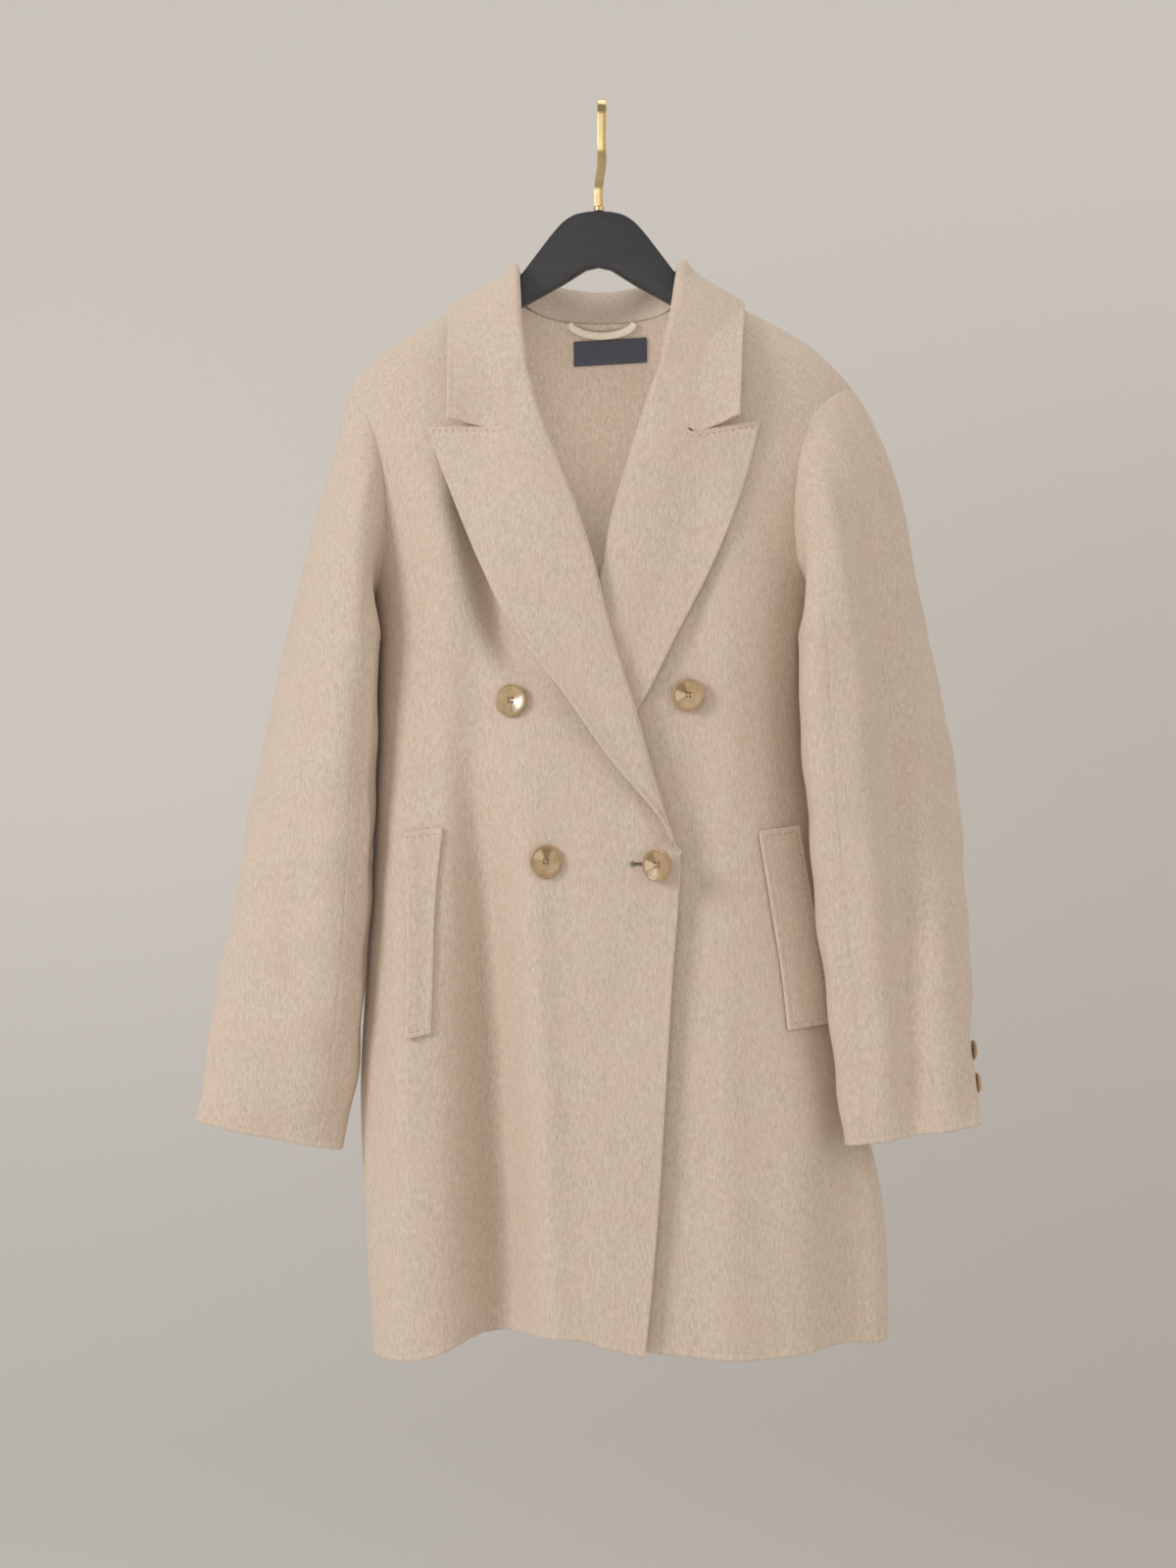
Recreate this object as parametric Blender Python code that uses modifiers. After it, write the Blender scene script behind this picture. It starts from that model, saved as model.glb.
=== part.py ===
"""Double-breasted wool coat hung on a wooden hanger, as separate sewn pieces.

Metres, +Z up. The coat's front faces -Y and +X is the wearer's left.
The origin is the inner top of the hanger's hook, where a rail holds it up.

The body is one closed form: at each height its section is a rounded oval with a left edge, a right edge,
a front depth and a back depth, and above the chest the depth closes to the shoulder ridge as an ellipse.
Every panel is a patch of that form, so neighbours meet along their seams.
"""

from collections import namedtuple
from math import cos, pi, radians, sin

import bmesh
import bpy
import numpy as np
from mathutils import Vector

# Driving sizes
WALL = 0.0022  # double-faced wool cloth
SEAM = 0.0003  # gap between neighbouring pieces
FOLD_RADIUS = 0.0030  # cloth turned back at the roll line and the collar
TURN_WIDTH = 0.0015  # edge that stands up where the lapel begins to turn
CHEST = -0.410  # height of the underarm
BREAK = -0.617  # height where the lapels begin to turn
GORGE = -0.235  # height where the lapel ends and the collar begins on the roll line
NECK_POINT = 0.078  # shoulder seam's inner end, from the centre
ROUNDNESS = 2.3  # power of the oval section
UPPER_OUT = -0.0035  # the upper front stands this far out where the fronts overlap
UNDER_IN = 0.0070  # the under front lies this far in
LAPEL_LIFT = 0.0060  # lapel above the cloth that it lies on
UPPER_STAND_OFF = 0.0060  # the upper lapel's outer edge lifts this much more off the chest
COLLAR_LIFT = 0.0070  # collar above the body
COLLAR_GAP = 0.0020  # collar's neck edge from the panels' middle

# Rows and columns of the panels
ROWS_SKIRT = 9  # hem to the break
ROWS_WAIST = 10  # break to chest
ROWS_LAPEL = 7  # chest to the gorge
ROWS_SHOULDER = 8  # gorge to the shoulder seam
SHOULDER_LEVEL = 0.998  # the shoulder seam, just short of the ridge
BREAK_LEVEL = -0.352  # the break as a level between chest (0) and hem (-1)
FRONT_COLUMNS = 13
BACK_COLUMNS = 9
SLEEVE_COLUMNS = 18
SLEEVE_RINGS = 10  # below the underarm
HEAD_RINGS = 7  # armhole to underarm level
HOLE_POINTS = 61  # measured along each side of the armhole
ARC_STEPS = 3  # round the roll line and the collar's fold
LAPEL_STEPS = 5  # across the lapel
TURN_ROWS = 3  # rows in which the lapel's edge turns over
COLLAR_STEPS = 3  # rows between neighbouring stations
FALL_STEPS = 5  # columns across the collar's fall
STAND_STEPS = 2  # columns up its stand
ROUNDS = 24  # repeats in which a row's height and its place across settle

# Body section: edges (x) and depths at each height
Section = namedtuple("Section", "z right_edge left_edge front back")
SECTIONS = (
    Section(-1.030, -0.183, 0.234, 0.087, 0.070),
    Section(-0.890, -0.191, 0.228, 0.086, 0.068),
    Section(-0.800, -0.194, 0.207, 0.085, 0.066),
    Section(-0.700, -0.189, 0.186, 0.083, 0.064),
    Section(-0.600, -0.184, 0.171, 0.082, 0.062),
    Section(-0.500, -0.181, 0.163, 0.080, 0.062),
    Section(-0.410, -0.182, 0.171, 0.078, 0.064),
    Section(-0.350, -0.189, 0.181, 0.077, 0.065),
    Section(-0.300, -0.197, 0.191, 0.075, 0.066),
    Section(-0.240, -0.206, 0.204, 0.073, 0.066),
    Section(-0.130, -0.210, 0.208, 0.070, 0.066),
)

# Shoulder ridge: height at each distance from the centre
Ridge = namedtuple("Ridge", "x z")
RIDGE = (
    Ridge(0.000, -0.115),
    Ridge(0.040, -0.126),
    Ridge(0.060, -0.137),
    Ridge(0.078, -0.1475),
    Ridge(0.100, -0.1605),
    Ridge(0.120, -0.172),
    Ridge(0.150, -0.188),
    Ridge(0.170, -0.200),
    Ridge(0.185, -0.213),
    Ridge(0.200, -0.2285),
    Ridge(0.212, -0.245),
)

# Back neckline: height at each distance from the centre
BACK_NECK = (
    Ridge(0.000, -0.1740),
    Ridge(0.025, -0.1730),
    Ridge(0.050, -0.1680),
    Ridge(0.070, -0.1570),
    Ridge(0.078, -0.1475),
)

# Inner edge of each front, hem to neck point: free edge, then roll line, then neckline
Edge = namedtuple("Edge", "z x")
UPPER_EDGE = (
    Edge(-1.010, 0.0330),
    Edge(-0.940, 0.0400),
    Edge(-0.677, 0.0576),
    Edge(-0.640, 0.0606),
    Edge(-0.617, 0.0614),
    Edge(-0.584, 0.0514),
    Edge(-0.543, 0.0390),
    Edge(-0.501, 0.0276),
    Edge(-0.433, 0.0069),
    Edge(-0.396, -0.0023),
    Edge(-0.358, -0.0131),
    Edge(-0.329, -0.0231),
    Edge(-0.289, -0.0386),
    Edge(-0.256, -0.0504),
    Edge(-0.235, -0.0560),
    Edge(-0.205, -0.0690),
    Edge(-0.180, -0.0755),
    Edge(-0.1475, -0.0780),
)
UNDER_EDGE = (
    Edge(-1.010, -0.0400),
    Edge(-0.677, -0.0620),
    Edge(-0.640, -0.0655),
    Edge(-0.617, -0.0660),
    Edge(-0.543, -0.0450),
    Edge(-0.500, -0.0325),
    Edge(-0.433, -0.0125),
    Edge(-0.385, 0.0006),
    Edge(-0.338, 0.0108),
    Edge(-0.299, 0.0225),
    Edge(-0.248, 0.0385),
    Edge(-0.235, 0.0430),
    Edge(-0.205, 0.0620),
    Edge(-0.180, 0.0735),
    Edge(-0.1475, 0.0780),
)

# Lapel's outer edge, break to peak, as part of the way up
Outer = namedtuple("Outer", "part x z")
UPPER_LAPEL = (
    Outer(0.00, 0.0590, -0.6120),
    Outer(0.08, 0.0530, -0.5920),
    Outer(0.25, 0.0085, -0.5370),
    Outer(0.40, -0.0285, -0.4850),
    Outer(0.55, -0.0695, -0.4310),
    Outer(0.70, -0.0955, -0.3790),
    Outer(0.85, -0.1200, -0.3190),
    Outer(1.00, -0.1380, -0.2710),
)
UNDER_LAPEL = (
    Outer(0.00, -0.0630, -0.6120),
    Outer(0.08, -0.0570, -0.5920),
    Outer(0.25, -0.0150, -0.5500),
    Outer(0.40, 0.0270, -0.4990),
    Outer(0.55, 0.0610, -0.4340),
    Outer(0.70, 0.0890, -0.3790),
    Outer(0.85, 0.1120, -0.3200),
    Outer(1.00, 0.1260, -0.2670),
)
# Notch between collar and lapel, then the gorge runs to the roll line
Place = namedtuple("Place", "x z")
UPPER_NOTCH = Place(-0.0805, -0.2745)
UNDER_NOTCH = Place(0.0700, -0.2790)
NOTCH_PART = 0.45  # part of the lapel's width at which its top edge passes the notch
GORGE_PART = 0.55  # part of the lapel's height from which its rows bend towards the gorge
EDGE_LIFT_POWER = 1.5  # how late across the lapel its outer edge lifts off

# Hem height across the body
UPPER_HEM = (
    Place(-0.190, -1.0160),
    Place(-0.165, -1.0140),
    Place(-0.128, -1.0065),
    Place(-0.100, -0.9955),
    Place(-0.060, -0.9920),
    Place(-0.040, -0.9885),
    Place(-0.015, -0.9900),
    Place(0.005, -0.9958),
    Place(0.034, -1.0025),
)
UNDER_HEM = (
    Place(-0.045, -0.9850),
    Place(0.000, -0.9900),
    Place(0.030, -0.9990),
    Place(0.065, -1.0040),
    Place(0.100, -1.0070),
    Place(0.135, -1.0075),
    Place(0.190, -1.0030),
    Place(0.235, -1.0050),
)
BACK_HEM = (
    Place(-0.190, -1.0200),
    Place(-0.100, -1.0130),
    Place(0.000, -1.0080),
    Place(0.100, -1.0060),
    Place(0.235, -1.0050),
)

# Hanging folds: where each is at its top and at the hem, how wide, and how deep it goes in (+) or out (-)
Fold = namedtuple("Fold", "side top_z top_x hem_x top_width hem_width depth")
FOLD_END = -1.000  # height where a fold is at its full depth
FOLD_LATE = 0.75  # part of the depth that comes on slowly, the rest evenly
FOLD_LOW = 0.15  # folds begin at this part of the oval's depth
FOLD_HIGH = 0.75  # and are whole from this part on
FOLDS = (
    Fold(-1, -0.360, -0.100, -0.078, 0.016, 0.034, 0.034),
    Fold(-1, -0.480, 0.196, 0.204, 0.022, 0.030, 0.022),
    Fold(-1, -0.620, 0.110, 0.140, 0.020, 0.030, 0.004),
    Fold(1, -0.450, -0.090, -0.110, 0.022, 0.036, 0.016),
    Fold(1, -0.430, 0.085, 0.110, 0.022, 0.036, 0.018),
    Fold(1, -0.700, 0.010, 0.020, 0.020, 0.030, 0.006),
)

# Where the fronts lie in or out as layers: from the side across, and from the lapels up
LAYER_NONE_X = -0.105
LAYER_FULL_X = -0.070
LAYER_FULL_Z = -0.360
LAYER_NONE_Z = -0.270
ROLL_RISE = 0.030  # height over which the roll line forms above the break

# Armhole: angle of its edge round the oval section, from underarm (0) to shoulder tip (1)
Armhole = namedtuple("Armhole", "rise front_right front_left back")
ARMHOLE = (
    Armhole(0.00, 0, 0, 0),
    Armhole(0.04, 13, 17, 12),
    Armhole(0.09, 20, 27, 19),
    Armhole(0.16, 25, 32, 25),
    Armhole(0.25, 28, 35, 28),
    Armhole(0.36, 29, 36, 29),
    Armhole(0.52, 26, 33, 27),
    Armhole(0.67, 19, 24, 21),
    Armhole(0.84, 12, 14, 14),
    Armhole(1.00, 9, 9, 9),
)

# Sleeve sections, underarm to cuff: outer and inner edge, centre depth, half depth, twist and slant
Ring = namedtuple("Ring", "z outer inner y half_depth twist slant")
RIGHT_SLEEVE = (
    Ring(-0.440, -0.2590, -0.1765, -0.006, 0.058, 0.043, 0.06),
    Ring(-0.500, -0.2704, -0.1780, -0.009, 0.055, 0.038, 0.08),
    Ring(-0.600, -0.2883, -0.1820, -0.013, 0.048, 0.028, 0.11),
    Ring(-0.700, -0.3032, -0.1875, -0.018, 0.040, 0.016, 0.14),
    Ring(-0.780, -0.3170, -0.1955, -0.022, 0.031, 0.009, 0.17),
    Ring(-0.838, -0.3240, -0.2080, -0.025, 0.019, 0.004, 0.19),
)
LEFT_SLEEVE = (
    Ring(-0.440, 0.2722, 0.1580, -0.010, 0.056, 0.050, 0.06),
    Ring(-0.500, 0.2847, 0.1595, -0.014, 0.053, 0.048, 0.08),
    Ring(-0.600, 0.2930, 0.1665, -0.026, 0.046, 0.036, 0.10),
    Ring(-0.700, 0.2965, 0.1780, -0.041, 0.037, 0.018, 0.13),
    Ring(-0.780, 0.2940, 0.1870, -0.053, 0.027, 0.008, 0.15),
    Ring(-0.833, 0.2996, 0.1930, -0.060, 0.015, 0.003, 0.14),
)
FRONT_SEAM = 4  # columns from the underarm to the front arm seam
HIND_SEAM = 12  # columns to the hind arm seam
SLEEVE_TURN = radians(32)  # the sleeve's inner edge lies this far in front of the underarm

# Direction in which the sleeve leaves the armhole, and how fast it runs into the first ring
LEAVE_ASIDE = 0.30
LEAVE_SPREAD = 0.28
LEAVE_INNER = 0.50
LEAVE_OUTER = {-1: -0.43, 1: 0.0}  # the right shoulder falls steeper
LEAVE_ROUND = 0.65
LEAVE_DOWN = 0.72
LEAVE_LEVEL = 0.30
ARRIVE_ASIDE = 0.14
SEAM_TURN = 0.80  # part of the wall that a bent seam holds back

# Collar stations from the right front end round the neck to the left:
# the neckline under it, its fold, and the middle and outer edge of its fall
Station = namedtuple("Station", "seam_x seam_z fold_x fold_y fold_z mid_x mid_z outer_x outer_y outer_z")
COLLAR = (
    Station(-0.0600, -0.2330, -0.0545, -0.064, -0.2340, -0.0815, -0.2728, -0.1202, -0.070, -0.2670),
    Station(-0.0695, -0.2030, -0.0600, -0.050, -0.2050, -0.0890, -0.2280, -0.1208, -0.060, -0.2320),
    Station(-0.0755, -0.1760, -0.0635, -0.036, -0.1760, -0.0910, -0.1900, -0.1215, -0.040, -0.2000),
    Station(-0.0780, -0.1490, -0.0652, -0.009, -0.1400, -0.0920, -0.1580, -0.1220, -0.012, -0.1740),
    Station(-0.0740, -0.1530, -0.0640, 0.018, -0.1370, -0.0860, -0.1580, -0.1120, 0.034, -0.1840),
    Station(-0.0500, -0.1680, -0.0480, 0.048, -0.1380, -0.0620, -0.1680, -0.0800, 0.070, -0.2020),
    Station(-0.0260, -0.1730, -0.0250, 0.064, -0.1390, -0.0300, -0.1720, -0.0380, 0.079, -0.2080),
    Station(0.0000, -0.1740, 0.0000, 0.067, -0.1410, 0.0000, -0.1740, 0.0000, 0.081, -0.2090),
    Station(0.0260, -0.1730, 0.0250, 0.064, -0.1390, 0.0300, -0.1720, 0.0380, 0.079, -0.2080),
    Station(0.0500, -0.1680, 0.0470, 0.048, -0.1370, 0.0620, -0.1670, 0.0800, 0.070, -0.2020),
    Station(0.0740, -0.1530, 0.0610, 0.018, -0.1345, 0.0840, -0.1560, 0.1100, 0.034, -0.1830),
    Station(0.0780, -0.1490, 0.0620, -0.009, -0.1360, 0.0880, -0.1560, 0.1160, -0.012, -0.1710),
    Station(0.0735, -0.1780, 0.0560, -0.038, -0.1790, 0.0830, -0.1900, 0.1130, -0.042, -0.1980),
    Station(0.0630, -0.2040, 0.0500, -0.052, -0.2050, 0.0780, -0.2260, 0.1110, -0.060, -0.2280),
    Station(0.0490, -0.2330, 0.0430, -0.064, -0.2340, 0.0705, -0.2768, 0.1092, -0.070, -0.2640),
)

# Pocket welts as corner heights and edges
Welt = namedtuple("Welt", "z left right")
RIGHT_WELT = (
    Welt(-0.7540, -0.1520, -0.1350),
    Welt(-0.7100, -0.1508, -0.1335),
    Welt(-0.6500, -0.1510, -0.1310),
    Welt(-0.5930, -0.1540, -0.1250),
)
LEFT_WELT = (
    Welt(-0.7480, 0.1475, 0.1790),
    Welt(-0.7000, 0.1420, 0.1740),
    Welt(-0.6450, 0.1330, 0.1630),
    Welt(-0.5920, 0.1245, 0.1540),
)
WELT_ROWS = 8
WELT_COLUMNS = 5
WELT_TILT = 0.004  # its top and lower edges rise this much towards the left
WELT_WALL = 0.0020
WELT_OUT = 0.0028  # welt's middle above the panel's

# Buttons
BUTTON_RADIUS = 0.0130
CUFF_BUTTON_RADIUS = 0.0082
BUTTON_STEPS = 20
CUFF_BUTTON_STEPS = 14
BUTTON_SHANK = 0.0012  # thread between the cloth and a button
CUFF_BUTTON_SHANK = 0.0010
# Where they stand round each sleeve, as angles from its inner end
CUFF_BUTTON_ANGLES = {"right": radians(218), "left": radians(183)}
# Button outline from the centre of its face out over the rim and in along its back, as parts of the radius
Turn = namedtuple("Turn", "radius height")
BUTTON_PROFILE = (
    Turn(0.00, 0.13),
    Turn(0.42, 0.14),
    Turn(0.66, 0.22),
    Turn(0.82, 0.27),
    Turn(0.96, 0.23),
    Turn(1.00, 0.14),
    Turn(0.93, 0.04),
    Turn(0.60, 0.00),
    Turn(0.00, 0.00),
)
Sewn = namedtuple("Sewn", "name x z layer turn")
FRONT_BUTTONS = (
    Sewn("button_right_upper", -0.0700, -0.4905, "upper", 0),
    Sewn("button_right_lower", -0.0430, -0.6165, "upper", 0),
    Sewn("button_left_upper", 0.0690, -0.4858, "under", 12),
    Sewn("button_left_lower", 0.0444, -0.6190, "upper", 38),
)
CUFF_BUTTON_HEIGHTS = (-0.7765, -0.8020)

# Hanger
HANGER_THICK = 0.012
HANGER_STEPS = 24
HANGER_TOP = (
    Place(0.0000, -0.0890),
    Place(0.0110, -0.0900),
    Place(0.0200, -0.0922),
    Place(0.0290, -0.0980),
    Place(0.0375, -0.1072),
    Place(0.0462, -0.1184),
    Place(0.0550, -0.1300),
    Place(0.0639, -0.1416),
    Place(0.0740, -0.1525),
    Place(0.0900, -0.1625),
    Place(0.1200, -0.1795),
    Place(0.1600, -0.2030),
    Place(0.1780, -0.2180),
    Place(0.1805, -0.2260),
)
HANGER_LOWER = (
    Place(0.1750, -0.2330),
    Place(0.1200, -0.2020),
    Place(0.0628, -0.1672),
    Place(0.0300, -0.1490),
    Place(0.0100, -0.1365),
)
HANGER_NOTCH = Place(0.0, -0.1342)
HOOK_WIDTH = 0.0072
HOOK_THICK = 0.0024
HOOK_RADIUS = 0.0133  # inner radius, over a rail
HOOK_TIP_DROP = 0.0130  # straight end behind the rail
HOOK_STEPS = 12
HOOK_ASIDE = 0.0012  # the strip's jog to one side
JOG_HIGH = -0.050
JOG_LOW = -0.070
HANGER_EDGE = 0.0015
# Hook's neck from the front of the rail down to the hanger, as parts of the hook's radius in front of it
Neck = namedtuple("Neck", "part z")
HOOK_NECK = (
    Neck(1.00, -0.0340),
    Neck(0.96, -0.0440),
    Neck(0.62, -0.0540),
    Neck(0.22, -0.0620),
    Neck(0.00, -0.0690),
    Neck(0.00, -0.0842),
)
FERRULE_RADIUS = 0.0042
FERRULE_STEPS = 20
FERRULE_BOTTOM = -0.0886
FERRULE_PROFILE = (
    Turn(0.00, 0.95),
    Turn(0.88, 0.95),
    Turn(1.00, 0.85),
    Turn(1.00, 0.10),
    Turn(0.92, 0.00),
    Turn(0.00, 0.00),
)

# Hanging loop and label inside the back neck
LOOP_CENTRE = 0.0015
LOOP_HALF = 0.0270
LOOP_TOP = -0.1740
LOOP_DIP = 0.0095
LOOP_WIDTH = 0.0050
LOOP_THICK = 0.0010
LOOP_OFF = 0.0045
LOOP_ROUND = 0.6  # how square the dip is
LOOP_STEPS = 16
LABEL_LEFT = -0.0215
LABEL_RIGHT = 0.0385
LABEL_LOW = -0.2065
LABEL_HIGH = -0.1872
LABEL_TILT = 0.055
LABEL_THICK = 0.0006
LABEL_COLUMNS = 8
LABEL_ROWS = 3

STEP = 0.0005  # short distance for measuring a slope
BUTTON_STEP = 0.0040  # the same under a button

# Colours, roughness and metallic value of each material
Finish = namedtuple("Finish", "red green blue rough metal")
FINISHES = {
    "wool": Finish(0.60, 0.49, 0.39, 0.90, 0.0),
    "button": Finish(0.42, 0.28, 0.16, 0.25, 0.0),
    "wood": Finish(0.03, 0.03, 0.035, 0.45, 0.0),
    "brass": Finish(0.72, 0.56, 0.24, 0.22, 1.0),
    "loop": Finish(0.70, 0.63, 0.52, 0.60, 0.0),
    "label": Finish(0.03, 0.03, 0.07, 0.60, 0.0),
}


# ---------------------------------------------------------------- tables
def smooth(table, along, value, at):
    """One column of a table as a smooth curve along another, read at the given places."""
    xs = np.array([getattr(row, along) for row in table], float)
    ys = np.array([getattr(row, value) for row in table], float)
    slopes = np.gradient(ys, xs)
    at = np.clip(at, xs[0], xs[-1])
    i = np.clip(np.searchsorted(xs, at) - 1, 0, len(xs) - 2)
    h = xs[i + 1] - xs[i]
    t = (at - xs[i]) / h
    ends = (2 * t**3 - 3 * t**2 + 1) * ys[i] + (3 * t**2 - 2 * t**3) * ys[i + 1]
    return ends + h * ((t**3 - 2 * t**2 + t) * slopes[i] + (t**3 - t**2) * slopes[i + 1])


def unit(vectors):
    """Vectors made one long."""
    return vectors / np.linalg.norm(vectors, axis=-1, keepdims=True)


def ease(value, low, high):
    """Rises from 0 at low to 1 at high, soft at both ends."""
    t = np.clip((value - low) / (high - low), 0, 1)
    return t * t * (3 - 2 * t)


# ---------------------------------------------------------------- body form
def middle(z):
    """Centre of the section in x."""
    return (smooth(SECTIONS, "z", "right_edge", z) + smooth(SECTIONS, "z", "left_edge", z)) / 2


def half_width(z):
    """Half of the section's width."""
    return (smooth(SECTIONS, "z", "left_edge", z) - smooth(SECTIONS, "z", "right_edge", z)) / 2


def ridge(x):
    """Height of the shoulder ridge."""
    return smooth(RIDGE, "x", "z", np.abs(x))


def fold_depth(x, z, side):
    """How far the hanging folds push the front (side -1) or back (side 1) inwards."""
    total = np.zeros(np.broadcast(x, z).shape)
    for fold in FOLDS:
        if fold.side != side:
            continue
        down = np.clip((fold.top_z - z) / (fold.top_z - FOLD_END), 0, 1)
        place = fold.top_x + (fold.hem_x - fold.top_x) * down
        width = fold.top_width + (fold.hem_width - fold.top_width) * down
        strength = FOLD_LATE * ease(down, 0, 0.9) + (1 - FOLD_LATE) * down
        total += fold.depth * strength * np.exp(-(((x - place) / width) ** 2))
    return total


def depth(x, z, side, out=0.0):
    """y of the body form at (x, z): its front (side -1) or back (side 1), moved out by a distance."""
    across = np.clip(np.abs(x - middle(z)) / (half_width(z) + out), 0, 1)
    oval = (1 - across**ROUNDNESS) ** (1 / ROUNDNESS)
    rise = np.clip((z - CHEST) / (ridge(x) + out - CHEST), 0, 1)
    closing = np.sqrt(1 - rise**2)
    column = "front" if side < 0 else "back"
    full = smooth(SECTIONS, "z", column, z) + out
    shape = full * oval * closing - fold_depth(x, z, side) * ease(oval, FOLD_LOW, FOLD_HIGH)
    return side * shape


def rounded(angle):
    """Part of the half width at an angle round the oval: 1 at the side, 0 at the centre, then below 0."""
    c = np.cos(angle)
    return np.sign(c) * np.abs(c) ** (2 / ROUNDNESS)


def level_z(level, x, hem):
    """Height of a row: level -1 is the hem, 0 the chest and 1 the shoulder ridge."""
    below = CHEST + (CHEST - smooth(hem, "x", "z", x)) * level
    above = CHEST + (ridge(x) - CHEST) * np.sin(np.clip(level, 0, 1) * pi / 2)
    return np.where(level < 0, below, above)


def on_body(angle, level, way, hem):
    """x and z of the body form at an angle from the side seam at way (-1 or 1) and a row's level."""
    z = level_z(level, np.full(np.shape(angle), way * 0.1), hem)
    for _ in range(ROUNDS):
        x = middle(z) + way * half_width(z) * rounded(angle)
        z = level_z(level, x, hem)
    return x, z


def angle_at(x, z, way):
    """Angle round the oval from the side seam at way to the place x."""
    part = np.clip(way * (x - middle(z)) / half_width(z), -1, 1)
    return np.arccos(np.sign(part) * np.abs(part) ** (ROUNDNESS / 2))


def edge_at(level, edge, hem, short):
    """x and z where a row meets a front's inner edge, short of it by a distance towards the side."""
    z = level_z(level, np.zeros(np.shape(level)), hem)
    for _ in range(ROUNDS):
        x = smooth(edge, "z", "x", z) + short
        z = 0.5 * z + 0.5 * level_z(level, x, hem)
    return x, z


def layer_shift(x, z, way, shift):
    """Part of a layer's shift at (x, z): full where the fronts overlap, none at the neck."""
    across = ease(-way * x, LAYER_NONE_X, LAYER_FULL_X)
    return shift * across * (1 - ease(z, LAYER_FULL_Z, LAYER_NONE_Z))


# ---------------------------------------------------------------- mesh helpers
def material(name):
    """Principled material from the table of finishes."""
    made = bpy.data.materials.get(name)
    if made:
        return made
    made = bpy.data.materials.new(name)
    made.use_nodes = True
    finish = FINISHES[name]
    shader = made.node_tree.nodes["Principled BSDF"]
    shader.inputs["Base Color"].default_value = (finish.red, finish.green, finish.blue, 1)
    shader.inputs["Roughness"].default_value = finish.rough
    shader.inputs["Metallic"].default_value = finish.metal
    return made


def add_object(name, mesh, finish, group):
    """Object with its material in the coat's collection, shaded smooth."""
    made = bpy.data.objects.new(name, mesh)
    mesh.materials.clear()
    mesh.materials.append(material(finish))
    mesh.shade_smooth()
    mesh.set_sharp_from_angle(angle=radians(40))
    group.objects.link(made)
    return made


def add_wall(name, points, faces, finish, group, thick=WALL, faces_out=True):
    """Wall of cloth: the open surface through the points, thickened about its middle."""
    mesh = bpy.data.meshes.new(name)
    mesh.from_pydata([tuple(map(float, point)) for point in points], [], faces)
    if not faces_out:
        mesh.flip_normals()
    made = add_object(name, mesh, finish, group)
    shell = made.modifiers.new("cloth", "SOLIDIFY")
    shell.thickness = thick
    shell.offset = 0
    shell.use_quality_normals = True
    return made


def grid_faces(rows, columns, first=0):
    """Quads of a grid whose points run column by column within each row."""
    corner = np.arange(rows * columns).reshape(rows, columns) + first
    quads = np.stack([corner[:-1, :-1], corner[:-1, 1:], corner[1:, 1:], corner[1:, :-1]], axis=-1)
    return quads.reshape(-1, 4).tolist()


def panel_levels(gorge_x):
    """Levels of the panels' rows, hem to shoulder, one of them at the gorge."""
    gorge = np.arcsin((GORGE - CHEST) / (float(ridge(gorge_x)) - CHEST)) / (pi / 2)
    skirt = np.linspace(-1, BREAK_LEVEL, ROWS_SKIRT + 1)[:-1]
    waist = np.linspace(BREAK_LEVEL, 0, ROWS_WAIST + 1)[:-1]
    chest = np.linspace(0, gorge, ROWS_LAPEL + 1)[:-1]
    shoulder = np.linspace(gorge, SHOULDER_LEVEL, ROWS_SHOULDER + 1)
    return np.concatenate([skirt, waist, chest, shoulder])


def armhole_angle(level, column):
    """Angle where a panel starts: the side seam below the chest, the armhole above it."""
    return np.radians(smooth(ARMHOLE, "rise", column, np.clip(level, 0, 1))) * (level > 0)


# ---------------------------------------------------------------- fronts
def front_panel(way, edge, hem, column, shift):
    """Grid of a front from the side seam or armhole to its inner edge, rows by columns by xyz."""
    level = panel_levels(float(smooth(edge, "z", "x", GORGE)))
    short = way * FOLD_RADIUS * ease(level_z(level, 0.0, hem), BREAK, BREAK + ROLL_RISE)
    inner_x, inner_z = edge_at(level, edge, hem, short)
    start = armhole_angle(level, column)[:, None]
    end = angle_at(inner_x, inner_z, way)[:, None]
    part = np.linspace(0, 1, FRONT_COLUMNS + 1)[None, :]
    rows = np.repeat(level[:, None], FRONT_COLUMNS + 1, axis=1)
    x, z = on_body(start + (end - start) * part, rows, way, hem)
    y = depth(x, z, -1) + layer_shift(x, z, way, shift) - SEAM
    return np.stack([x, y, z], axis=-1)


def lapel_target(part, outer, notch, across, gorge_row):
    """x and z towards the lapel's outer edge: straight across, and at the top along the gorge."""
    edge_x = smooth(outer, "part", "x", part)
    edge_z = smooth(outer, "part", "z", part)
    start_x, start_z = gorge_row
    straight_x = start_x + (edge_x - start_x) * across
    straight_z = start_z + (edge_z - start_z) * across
    first = np.clip(across / NOTCH_PART, 0, 1)
    second = np.clip((across - NOTCH_PART) / (1 - NOTCH_PART), 0, 1)
    bent_x = start_x + (notch.x - start_x) * first + (edge_x - notch.x) * second
    bent_z = start_z + (notch.z - start_z) * first + (edge_z - notch.z) * second
    weight = ease(part, GORGE_PART, 1.0)
    return straight_x + (bent_x - straight_x) * weight, straight_z + (bent_z - straight_z) * weight


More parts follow.
